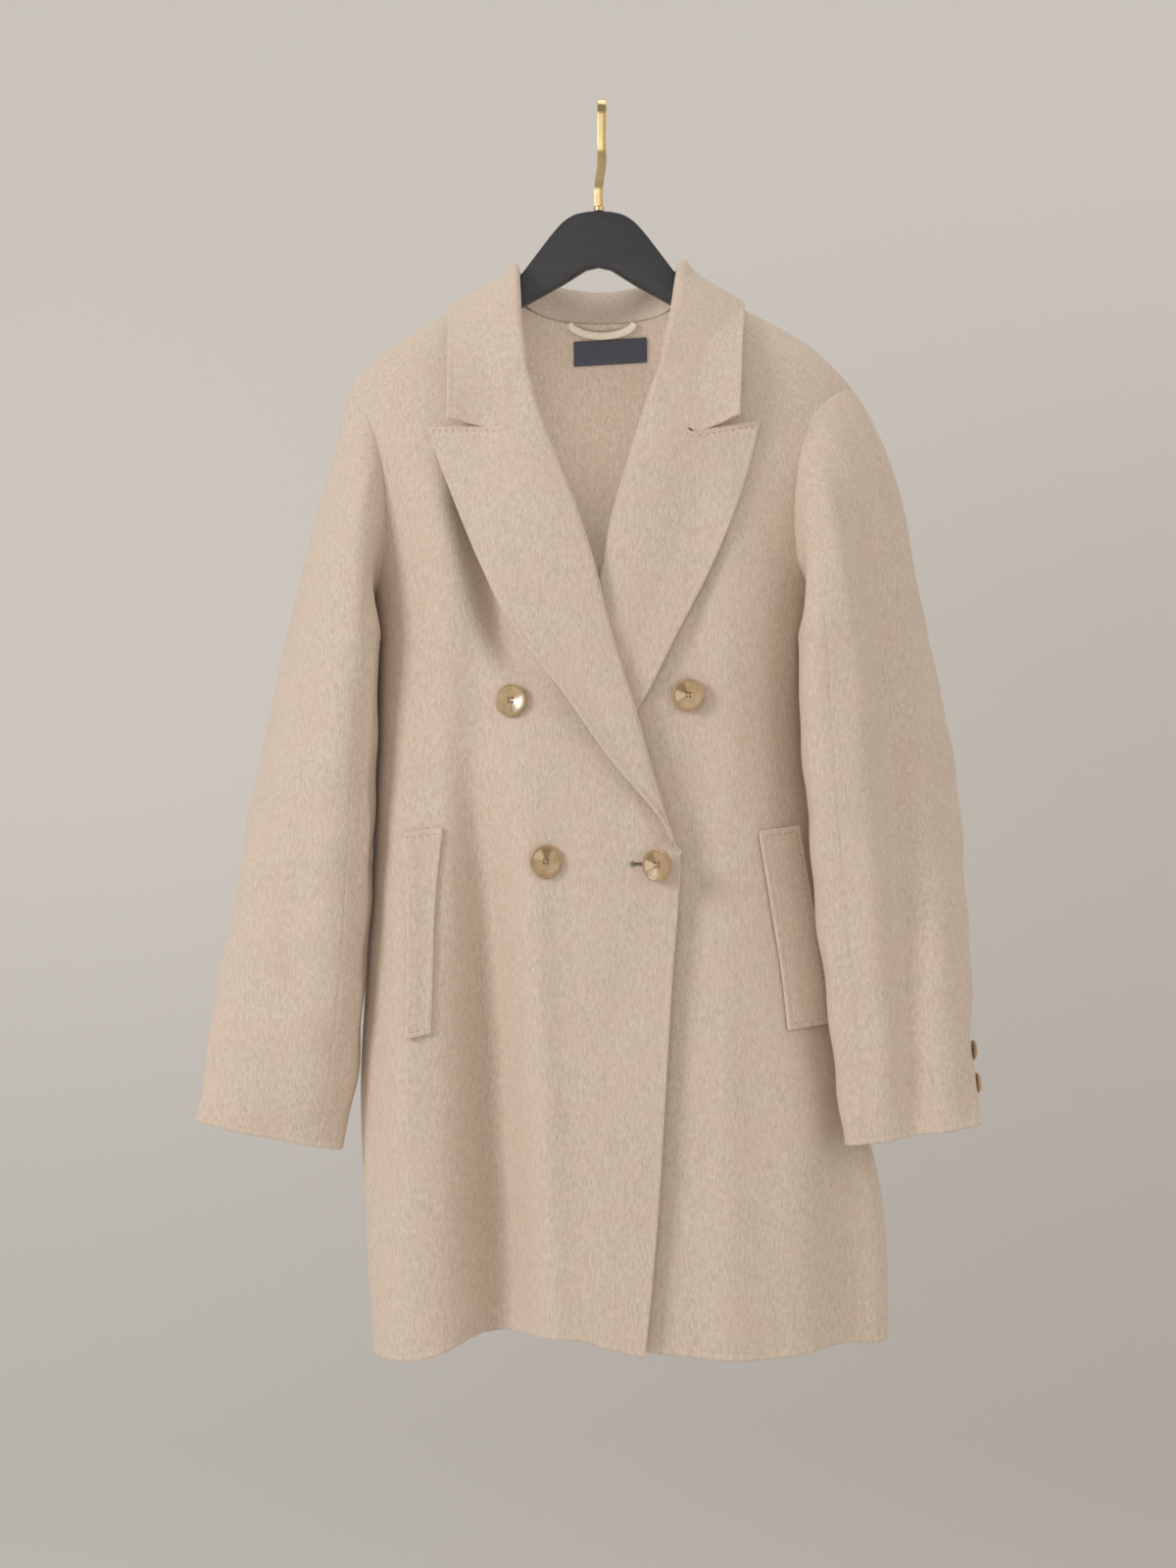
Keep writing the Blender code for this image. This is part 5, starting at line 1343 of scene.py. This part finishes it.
def make_front(front):
    """Front with its lapel as one cloth, thick at its finished edges."""
    panel = front_panel(front)
    turned, first = lapel(panel, front)
    base = numbered(panel)
    last = first + len(turned) - 1
    index = numbered(turned, base.size)
    index[0] = base[first, -1]
    index = np.concatenate([base[first : last + 1, -1:], index], axis=1)
    points = np.concatenate([panel.reshape(-1, 3), turned.reshape(-1, 3)])
    quads = np.concatenate([grid_faces(base), grid_faces(index)])
    # the front's own edge is open below the break only, and the lapel's edge above it
    open_edge = edge_run(panel, 1, True) + FAR * ease(panel[:, :, 2], BREAK - 0.012, BREAK + 0.008)
    panel_gap = np.minimum(edge_run(panel, 0), open_edge)
    top = edge_run(turned, 0, True) + FAR * (1 - ease(edge_run(turned, 1), *PEAK_START))
    side = edge_run(turned, 1, True) + 0.004 * (1 - ease(turned[:, :, 2], BREAK, BREAK + 0.02))
    gap = np.concatenate([panel_gap.ravel(), np.minimum(side, top).ravel()])
    used, quads = compact(np.column_stack([points, gap]), quads)
    wall = closed_wall(used[:, :3], quads, edge_thickness(used[:, 3]) * EDGE_THICK)
    made = add_piece(f"cloth_{front.hole}", *wall, wool(), "wool", (front.hole,))
    return turned


def lift(line, facing, way_out, thick):
    """A line on the cloth's middle moved onto its outer face, with its outward normals."""
    facing = facing * np.sign((facing * way_out).sum(axis=-1, keepdims=True))
    return line + facing * thick / 2, facing


class CoatFronts(bpy.types.Operator):
    """Both fronts with their lapels and their pick stitching"""

    bl_idname = "coat.fronts"
    bl_label = "Fronts and lapels"

    def execute(self, context):
        lines = []
        tops = []
        for front in FRONTS:
            turned = make_front(front)
            line, facing = inset_line(turned, GROOVE)
            keep = line[:, 2] > LAPEL_LOW
            lines.append(lift(line[keep], facing[keep], AHEAD, STITCHED))
            line, facing = inset_line(turned.transpose(1, 0, 2), GROOVE)
            keep = edge_run(turned, 1)[-1] > PEAK_START[0]
            tops.append(lift(line[keep], facing[keep], AHEAD, STITCHED))
        pitch = context.scene.coat_cloth.pitch
        sewn = stitches(lines, pitch=pitch * LAPEL_PITCH, sink=LAPEL_SINK)
        add_piece("lapel_stitching", *sewn, thread(), "wool")
        add_piece("peak_stitching", *stitches(tops, *PEAK_STITCH, pitch), thread(), "wool")
        return {"FINISHED"}


class CoatBacks(bpy.types.Operator):
    """Both halves of the back, which meet at the centre seam"""

    bl_idname = "coat.backs"
    bl_label = "Backs"

    def execute(self, context):
        for name, way in (("right", -1), ("left", 1)):
            grid = back_panel(way)
            thick = edge_thickness(edge_run(grid, 0)) * EDGE_THICK
            made = add_cloth(f"cloth_back_{name}", grid, thick, (f"back_{name}",))
        return {"FINISHED"}


class CoatSleeves(bpy.types.Operator):
    """Sleeves in two parts each, joined at the front and hind arm seams"""

    bl_idname = "coat.sleeves"
    bl_label = "Sleeves"

    def execute(self, context):
        for side, way, table, column, hem in (
            ("right", -1, RIGHT_SLEEVE, "front_right", UPPER_HEM),
            ("left", 1, LEFT_SLEEVE, "front_left", UNDER_HEM),
        ):
            grid = sleeve(way, table, column, hem)
            grid[:, -1] = grid[:, 0]
            over = grid[:, FRONT_SEAM : HIND_SEAM + 1]
            under = np.concatenate([grid[:, HIND_SEAM:-1], grid[:, : FRONT_SEAM + 1]], axis=1)
            for name, part, flat, area in (
                ("top", over, (0.24, 0.62), 0.115),
                ("under", under, (0.24, 0.60), 0.120),
            ):
                thick = edge_thickness(edge_run(part, 0, True)) * EDGE_THICK
                thick = np.where(np.arange(len(part))[:, None] < SEAM_ROWS, SEAMED, thick)
                made = add_cloth(f"cloth_sleeve_{side}_{name}", part, thick, (f"sleeve_{side}_{name}",))
        return {"FINISHED"}


class CoatCollar(bpy.types.Operator):
    """Collar as one folded cloth, with its pick stitching"""

    bl_idname = "coat.collar"
    bl_label = "Collar"

    def execute(self, context):
        grid = collar_surface()
        ends = np.minimum(edge_run(grid, 0), edge_run(grid, 0, True))
        ends = ends + FAR * (1 - ease(edge_run(grid, 1), COLLAR_NOTCH - 0.006, COLLAR_NOTCH))
        thick = edge_thickness(np.minimum(edge_run(grid, 1, True), ends)) * EDGE_THICK
        made = add_cloth("cloth_collar", grid, thick, ("collar",))
        line, facing = inset_line(grid, GROOVE)
        outward = stack(0.25 * np.sign(line[:, 0]), np.where(line[:, 1] < 0.0, -1.0, 1.0), 0.8)
        lines = [lift(line, facing, outward, STITCHED)]
        pitch = context.scene.coat_cloth.pitch
        sewn = stitches(lines, pitch=pitch * COLLAR_PITCH, sink=COLLAR_SINK)
        add_piece("collar_stitching", *sewn, thread(), "wool")
        # A thin cord of the darker thread along the join: partly the seam's thread, partly painted shade of
        # its groove
        join = grid[grid[:, 0, 1] > 0.004, 0] - np.array([0.0, WALL * 0.8, 0.0004])
        add_piece("neck_seam", *tube(join, NECK_CORD), thread(), "wool")
        return {"FINISHED"}


class CoatWelts(bpy.types.Operator):
    """Pocket welts, stitched at both ends, the left one also along its free edge"""

    bl_idname = "coat.welts"
    bl_label = "Pocket welts"

    def execute(self, context):
        inset = GROOVE * 0.9
        lines = []
        for name, table, way, shift, area in (
            ("right", RIGHT_WELT, -1, UPPER_OUT, 0.0035),
            ("left", LEFT_WELT, 1, UNDER_IN, 0.0050),
        ):
            grid = welt(table, way, shift)
            ends = np.minimum(edge_run(grid, 0), edge_run(grid, 0, True))
            gap = np.minimum(ends, np.minimum(edge_run(grid, 1), edge_run(grid, 1, True)))
            thick = edge_thickness(gap) * EDGE_THICK * 0.92
            made = add_cloth(f"cloth_welt_{name}", grid, thick, (f"welt_{name}",))
            turned = grid
            if way > 0:
                line, facing = inset_line(grid, inset)
                lines.append(lift(line[6:-6], facing[6:-6], AHEAD, WELT_STITCHED))
            else:
                turned = grid[:, ::-1]
            for rows in (turned, turned[::-1]):
                line, facing = inset_line(rows.transpose(1, 0, 2), inset)
                lines.append(lift(line[3:-3], facing[3:-3], AHEAD, WELT_STITCHED))
        pitch = context.scene.coat_cloth.pitch
        add_piece("welt_stitching", *stitches(lines, *WELT_STITCH, pitch), thread(), "wool")
        return {"FINISHED"}


def button_shape(radius, hole):
    """Turned button on polar coordinates: a cone dish inside a rounded rim, down round its edge to the back,
    less four sewing holes as round pits."""
    face = np.linspace(0.0, 0.80, 44)
    r, h = np.array(BUTTON_PROFILE).T
    rs = np.concatenate([face, r[4:]])[:, None]
    hs = np.concatenate([np.interp(face, r[:4], h[:4]), h[4:]])[:, None]
    a = 2 * pi * np.arange(72) / 72
    x, y = rs * np.cos(a) * radius, rs * np.sin(a) * radius
    pits = 0
    for sx in (-1, 1):
        for sy in (-1, 1):
            away = np.hypot(x - sx * hole * HOLE_OUT, y - sy * hole * HOLE_OUT)
            pits = np.maximum(pits, 1 - ease(away, hole * 0.75, hole * 1.15))
    top = (np.arange(len(rs)) < len(face))[:, None]
    return turned_round(stack(x, y, hs * radius - pits * top * radius * PIT_DEPTH))


def placed(points, centre, across, upward, facing):
    """Points of a piece made round +Z, set at a place with its own three directions."""
    return centre + points[:, :1] * across + points[:, 1:2] * upward + points[:, 2:] * facing


def make_button(name, radius, centre, facing, turn):
    """Button and its thread at a place, facing a direction: two pairs of bowed strands and a shank."""
    facing = unit(facing)
    across = unit(np.cross((0.0, 0.0, 1.0), facing))
    upward = np.cross(facing, across)
    scale = radius / BUTTON_RADIUS
    hole = bpy.context.scene.coat_buttons.hole_radius * radius / BUTTON_RADIUS
    points, faces = button_shape(radius, hole)
    points = placed(points, centre, across, upward, facing)
    finish = horn(f"horn_{name}", centre, across / scale, upward / scale, turn)
    add_piece(f"{name}_turned", points, faces, finish, "button", (name,))
    s = np.linspace(-1, 1, 9)
    bow = 1 - s**2
    rise = radius * 0.155 + hole * 0.45 * bow - hole * 0.5 * s**4
    strands = []
    for side in (-1, 1):
        for nudge in (-0.25, 0.25):
            path = stack(s * hole * HOLE_OUT, (side * HOLE_OUT + nudge * bow) * hole, rise)
            strands.append(tube(path, hole * 0.28, 6))
    shank = stack(0.0, 0.0, -0.0013 + (s + 1) / 2 * 0.0014)
    strands.append(tube(shank, 0.0016 * scale, 10))
    points, faces = joined(strands)
    add_piece(f"{name}_thread", placed(points, centre, across, upward, facing), faces, thread(), "button")


class CoatButtonsMake(bpy.types.Operator):
    """Front and cuff buttons, sewn on with thread, and the worked buttonhole"""

    bl_idname = "coat.buttons"
    bl_label = "Buttons"

    def execute(self, context):
        step = 0.004
        for sewn in FRONT_BUTTONS:
            way, shift = (-1, UPPER_OUT) if sewn.layer == "upper" else (1, UNDER_IN)
            x = sewn.x + step * np.array([0, 1, -1, 0, 0])
            z = sewn.z + step * np.array([0, 0, 0, 1, -1])
            y, right, left, above, below = front_y(x, z, way, shift)
            lean = radians(sewn.lean)
            a = np.arctan((right - left) / (2 * step)) - lean
            facing = np.array([np.sin(a), -np.cos(a), (above - below) / (2 * step)])
            out = WALL / 2 + BUTTON_GAP + np.sin(lean) * BUTTON_RADIUS
            centre = np.array([sewn.x, y - out, sewn.z])
            make_button(sewn.name, BUTTON_RADIUS, centre, unit(facing), sewn.wedge)
        for side, way, table in (("right", -1, RIGHT_SLEEVE), ("left", 1, LEFT_SLEEVE)):
            angle = CUFF_BUTTON_ANGLES[side]
            for number, z in enumerate(CUFF_BUTTON_HEIGHTS, 1):
                heights = np.array([z, z, z + step])
                spot, ahead, above = sleeve_ring(table, heights, angle + np.array([0, 0.1, 0]), way)
                normal = unit(np.cross(ahead - spot, above - spot))
                normal = normal * np.sign(normal[0] * way)
                centre = spot + normal * (WALL / 2 + CUFF_BUTTON_GAP)
                name = f"cuff_button_{side}_{number}"
                make_button(name, CUFF_BUTTON_RADIUS, centre, normal, CUFF_BUTTON_WEDGE)
        self.buttonhole()
        return {"FINISHED"}

    def buttonhole(self):
        """Keyhole buttonhole beside the fastened button: a ring of stitches at its eye, a row along each side
        and a thin dark sheet between them as the slit's painted shadow."""
        a = np.linspace(0.55, 2 * pi - 0.55, 26)
        ring = np.stack([EYE.x + EYE_RADIUS * np.cos(a), EYE.z + EYE_RADIUS * np.sin(a)], axis=-1)
        bars = np.linspace(0, 1, 22)[:, None]
        low = ring[-1] + np.array([HOLE_LENGTH, 0.0002]) * bars
        high = ring[0] + np.array([HOLE_LENGTH, -0.0002]) * bars
        x, z = np.concatenate([high[::-1], ring[1:-1], low]).T
        y = front_y(x, z, -1, UPPER_OUT) - WALL / 2 - 0.0002
        wraps = HOLE_CORD * (1 + 0.28 * np.sin(np.arange(len(x)) * 2.4))
        grey = plain("silk_twist", linear(150, 144, 136), 1200, 0.3, bump=0.5, Roughness=0.6)
        add_piece("buttonhole_stitching", *tube(stack(x, y, z), wraps, 8), grey, "wool")
        z = EYE.z + np.linspace(-SLIT_HALF, SLIT_HALF, 3)[:, None]
        x = np.linspace(EYE.x, EYE.x + SLIT_LENGTH, 12)[None, :] + 0 * z
        z = z + 0 * x
        grid = stack(x, front_y(x, z, -1, UPPER_OUT) - WALL / 2 - 0.0001, z)
        # Painted shadow: a thin dark sheet in the slit
        dark = plain("slit_shadow", linear(84, 70, 58), 800, 0.2, Roughness=0.95)
        add_cloth("buttonhole_slit", grid, 0.0002, (), dark)


class CoatNeck(bpy.types.Operator):
    """Hanging loop and bare label inside the back neck"""

    bl_idname = "coat.neck"
    bl_label = "Loop and label"

    def execute(self, context):
        self.loop()
        self.label()
        return {"FINISHED"}

    def loop(self):
        """Flat cord carried along a bow between its two ends, a little rounded across."""
        part = np.linspace(-1, 1, 81)[None, :]
        x = LOOP_CENTRE + LOOP_HALF * part
        low = LOOP_TOP - LOOP_DIP * (1 - part**2) ** 0.6
        across = np.linspace(-0.5, 0.5, 7)[:, None] * LOOP_WIDTH
        run = unit(np.stack([np.gradient(x[0]), np.gradient(low[0])], axis=-1))
        x, z = x - across * run[:, 1], low + across * run[:, 0]
        y = depth(x, z, 1, 0, False) - LOOP_OFF - 0.0006 * np.cos(pi * across / LOOP_WIDTH)
        finish = plain(
            "ivory_cord", linear(238, 228, 210), 1500, 0.14, (1, 1, 0.5), 0.5, 0.0002,
            Roughness=0.55, Sheen_Weight=0.2,
        )
        add_cloth("loop_cord", stack(x, y, z), 0.0011, ("hanging_loop",), finish, "loop")

    def label(self):
        """Label over the back's inner face, tilted, and bowed by half a sine across its width."""
        x = np.linspace(LABEL_LEFT, LABEL_RIGHT, 73)[None, :]
        z = np.linspace(LABEL_LOW, LABEL_HIGH, 25)[:, None] + LABEL_TILT * x
        x = x + 0 * z
        bulge = 0.0008 * np.sin(pi * (x - LABEL_LEFT) / (LABEL_RIGHT - LABEL_LEFT))
        y = depth(x, z, 1, 0, False) - WALL / 2 - 3 * SEAM - LABEL_THICK - bulge
        finish = plain(
            "navy_satin", linear(34, 36, 58), 1400, 0.18, (1, 1, 0.08), 0.25, 0.0002,
            Roughness=0.42, Sheen_Weight=0.3,
        )
        made = add_cloth("label_satin", stack(x, y, z), LABEL_THICK, ("label",), finish, "label")


class CoatHangerMake(bpy.types.Operator):
    """Flat lacquered hanger with its brass hook and ferrule"""

    bl_idname = "coat.hanger"
    bl_label = "Hanger"

    def execute(self, context):
        colours = context.scene.coat_hanger
        lacquer = plain(
            "black_lacquer", opaque(colours.body_colour), 300, 0.10, (0.2, 1, 1), 0.08, 0.0004,
            Roughness=0.42, Specular_IOR_Level=0.45, Coat_Weight=0.10, Coat_Roughness=0.35,
        )
        brass = plain(
            "polished_brass", opaque(colours.hook_colour), 700, 0.05, (0.15, 1, 1), 0.06, 0.0002,
            Roughness=0.24, Metallic=1.0,
        )
        self.body(lacquer)
        self.hook(brass)
        self.ferrule(brass)
        return {"FINISHED"}

    def body(self, lacquer):
        """Hanger's outline, mirrored, as a filled flat curve with rounded edges, then made a mesh."""
        across = np.linspace(0, HANGER_TOP[-2].x, 90)[1:]
        top = list(zip(across, smooth(HANGER_TOP, "x", "z", across)))
        right = top + list(HANGER_TOP[-1:] + HANGER_LOWER)
        outline = [HANGER_TOP[0]] + right + [HANGER_NOTCH] + [(-x, z) for x, z in reversed(right)]
        shape = bpy.data.curves.new("hanger_outline", "CURVE")
        shape.dimensions = "2D"
        shape.fill_mode = "BOTH"
        shape.extrude = HANGER_THICK / 2 - HANGER_EDGE
        shape.bevel_depth = HANGER_EDGE
        shape.bevel_resolution = 4
        shape.offset = -HANGER_EDGE
        line = shape.splines.new("POLY")
        line.points.add(len(outline) - 1)
        for point, (x, z) in zip(line.points, outline):
            point.co = (x, z, 0, 1)
        line.use_cyclic_u = True
        guide = new_object("hanger_outline", shape)
        bpy.context.view_layer.update()
        finished = guide.evaluated_get(bpy.context.evaluated_depsgraph_get())
        mesh = bpy.data.meshes.new_from_object(finished)
        bpy.data.objects.remove(guide)
        mesh.name = "hanger_body"
        place = np.zeros(len(mesh.vertices) * 3)
        mesh.vertices.foreach_get("co", place)
        x, z, y = place.reshape(-1, 3).T
        mesh.vertices.foreach_set("co", stack(x - HOOK_ASIDE, -y, z).ravel())
        made = new_object("hanger_body", mesh)
        self.close_skin(mesh)
        mesh.materials.clear()
        mesh.materials.append(lacquer)
        settle(made, "wood", ("hanger",))

    def close_skin(self, mesh):
        """Merges the outline's doubled points and turns its faces outwards."""
        work = bmesh.new()
        work.from_mesh(mesh)
        bmesh.ops.remove_doubles(work, verts=work.verts, dist=0.00001)
        bmesh.ops.recalc_face_normals(work, faces=work.faces)
        work.to_mesh(mesh)
        work.free()
        mesh.shade_smooth()
        mesh.set_sharp_from_angle(angle=radians(32))

    def hook_path(self):
        """y and z of the hook's middle: its straight end, half a circle over the rail, then its bent neck,
        which is evened by a few rounds of averages."""
        radius = HOOK_RADIUS + HOOK_THICK / 2
        a = np.linspace(0, pi, 61)
        drops = np.linspace(HOOK_TIP_DROP, 0.0005, 12)
        end = stack(radius, -HOOK_RADIUS - drops)
        bow = stack(radius * np.cos(a), -HOOK_RADIUS + radius * np.sin(a))
        neck = np.array([(-radius, -HOOK_RADIUS)] + [(-radius * row.part, row.z) for row in HOOK_NECK])
        run = run_length(neck, 0)
        neck = between(neck, run, np.linspace(0, 1, 70)[1:] * run[-1])
        for _ in range(14):
            neck[1:-1] = (neck[:-2] + 2 * neck[1:-1] + neck[2:]) / 4
        return np.concatenate([end, bow, neck])

    def hook(self, brass):
        """Flat strip: a rectangle with round corners carried along the hook's path, with a jog aside."""
        path = self.hook_path()
        y, z = path[:, :1], path[:, 1:]
        ahead = unit(np.gradient(path, axis=0))
        aside = HOOK_ASIDE * (1 - 2 * ease(-z, -JOG_HIGH, -JOG_LOW))
        half_w, half_t = HOOK_WIDTH / 2 - HOOK_CORNER, HOOK_THICK / 2 - HOOK_CORNER
        ring = []
        for k, (sx, sy) in enumerate(((1, 1), (-1, 1), (-1, -1), (1, -1))):
            turn = np.linspace(k * pi / 2, (k + 1) * pi / 2, 4)
            corner = HOOK_CORNER * stack(np.cos(turn), np.sin(turn))
            ring.append((sx * half_w, sy * half_t) + corner)
        wide, thick = np.concatenate(ring).T
        grid = stack(aside + wide, y - ahead[:, 1:] * thick, z + ahead[:, :1] * thick)
        index = wrapped(numbered(grid))
        count = grid.shape[0] * grid.shape[1]
        caps = [fan(index[0], count)[:, [1, 0, 2, 3]], fan(index[-1], count + 1)]
        points = np.concatenate([grid.reshape(-1, 3), grid[[0, -1]].mean(axis=1)])
        faces = np.concatenate([grid_faces(index)] + caps)
        made = add_piece("hook_strip", points, faces, brass, "brass", ("hanger_hook",))
        made.data.set_sharp_from_angle(angle=radians(50))

    def ferrule(self, brass):
        """Ferrule's profile turned round the hook's neck."""
        a = 2 * pi * np.arange(48) / 48
        r, h = (np.array(FERRULE_PROFILE) * FERRULE_RADIUS).T[:, :, None]
        grid = stack(-HOOK_ASIDE + r * np.cos(a), r * np.sin(a), FERRULE_BOTTOM + h)
        made = add_piece("ferrule_turned", *turned_round(grid), brass, "brass", ("hook_ferrule",))
        made.data.set_sharp_from_angle(angle=radians(40))


class CoatStudioMake(bpy.types.Operator):
    """Camera, soft lights and a pale floor that curves up into a round backdrop"""

    bl_idname = "coat.studio"
    bl_label = "Camera, lights and floor"

    def execute(self, context):
        studio = context.scene.coat_studio
        camera = new_object("camera", bpy.data.cameras.new("camera"))
        camera.data.lens = LENS
        camera.data.sensor_width = SENSOR
        camera.data.clip_start = 0.05
        camera.data.clip_end = 60
        camera.location = CAMERA
        camera.rotation_euler = (radians(90), 0, 0)
        context.scene.camera = camera
        self.backdrop(studio)
        for row in LIGHTS:
            self.light(row, getattr(studio, row.power))
        world = bpy.data.worlds.new("studio")
        world.use_nodes = True
        sky = world.node_tree.nodes["Background"]
        sky.inputs["Color"].default_value = SKY_COLOUR
        sky.inputs["Strength"].default_value = studio.sky
        context.scene.world = world
        context.scene.view_settings.view_transform = "Standard"
        return {"FINISHED"}

    def light(self, row, power):
        """Square soft light at a place, aimed at a point."""
        lamp = bpy.data.lights.new(row.name, "AREA")
        lamp.energy = power
        lamp.size = row.size
        lamp.color = row.colour
        ahead = unit(np.array(row.aim) - np.array(row.place))
        made = new_object(row.name, lamp)
        made.location = row.place
        made.rotation_euler = (np.arccos(-ahead[2]), 0, np.arctan2(-ahead[0], ahead[1]))
        made.visible_camera = False

    def backdrop(self, studio):
        """Round floor that turns up in a quarter circle into a wall, as a profile swept round +Z."""
        level, radius = FLOOR_LEVEL, FLOOR_RADIUS + FLOOR_BEND
        a = np.linspace(0, pi / 2, 17)[1:]
        r = [np.linspace(0, FLOOR_RADIUS, 12), FLOOR_RADIUS + FLOOR_BEND * np.sin(a), np.full(8, radius)]
        wall = np.linspace(level + FLOOR_BEND, WALL_TOP, 9)[1:]
        h = [np.full(12, level), level + FLOOR_BEND * (1 - np.cos(a)), wall]
        r, h = np.concatenate(r)[:, None], np.concatenate(h)[:, None]
        turn = 2 * pi * np.arange(97) / 96
        grid = stack(r * np.cos(turn), r * np.sin(turn), h)
        mesh = bpy.data.meshes.new("floor")
        mesh.from_pydata(grid.reshape(-1, 3).tolist(), [], grid_faces(numbered(grid)).tolist())
        mesh.shade_smooth()
        mesh.materials.append(self.painted(studio.backdrop_colour))
        new_object("floor", mesh)

    def painted(self, colour):
        """Paint that glows a little, with painted shade: dimmer low down, and darker and warmer towards one
        side.
        """
        finish, shader, place = new_material("backdrop", Roughness=0.95, Specular_IOR_Level=0.1)
        # Painted shade: darker low down, and darker and warmer towards one side, as light falls off across a
        # wall
        low = 1 - place.split(2).between(-2.4, -0.2)
        aside = place.split(0).between(-1.6, 2.0) * (1 - place.split(2).between(-0.5, 1.6))
        dim = opaque(c * k for c, k in zip(colour, (0.50, 0.50, 0.51)))
        warm_shade = opaque(c * k for c, k in zip(colour, (0.60, 0.55, 0.50)))
        blend = (low * 0.42).mix(opaque(colour), dim)
        blend = (aside * 0.42).mix(blend, warm_shade)
        feed(shader, place, Base_Color=blend, Emission_Color=blend)
        shader.inputs["Emission Strength"].default_value = 0.36
        return finish


class CoatPanel(bpy.types.Panel):
    """Sizes and colours of the coat, and the steps that build it"""

    bl_idname = "COAT_PT_panel"
    bl_label = "Coat"
    bl_space_type = "VIEW_3D"
    bl_region_type = "UI"
    bl_category = "Coat"

    def draw(self, context):
        for name in GROUPS:
            group = getattr(context.scene, name)
            box = self.layout.box()
            for key in group.__annotations__:
                box.prop(group, key)
        for step in STEPS:
            self.layout.operator(step.bl_idname)


STEPS = (
    CoatStudioMake, CoatFronts, CoatBacks, CoatSleeves, CoatCollar, CoatWelts, CoatButtonsMake, CoatNeck,
    CoatHangerMake,
)
GROUPS = {
    "coat_cloth": CoatCloth,
    "coat_buttons": CoatButtons,
    "coat_hanger": CoatHanger,
    "coat_studio": CoatStudio,
}


def register():
    for name, group in GROUPS.items():
        bpy.utils.register_class(group)
        setattr(bpy.types.Scene, name, bpy.props.PointerProperty(type=group))
    for made in STEPS + (CoatPanel,):
        bpy.utils.register_class(made)


def unregister():
    for made in reversed(STEPS + (CoatPanel,)):
        bpy.utils.unregister_class(made)
    for name, group in reversed(GROUPS.items()):
        delattr(bpy.types.Scene, name)
        bpy.utils.unregister_class(group)


def main():
    """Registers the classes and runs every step."""
    register()
    for step in STEPS:
        family, name = step.bl_idname.split(".")
        getattr(getattr(bpy.ops, family), name)()


if __name__ == "__main__":
    main()
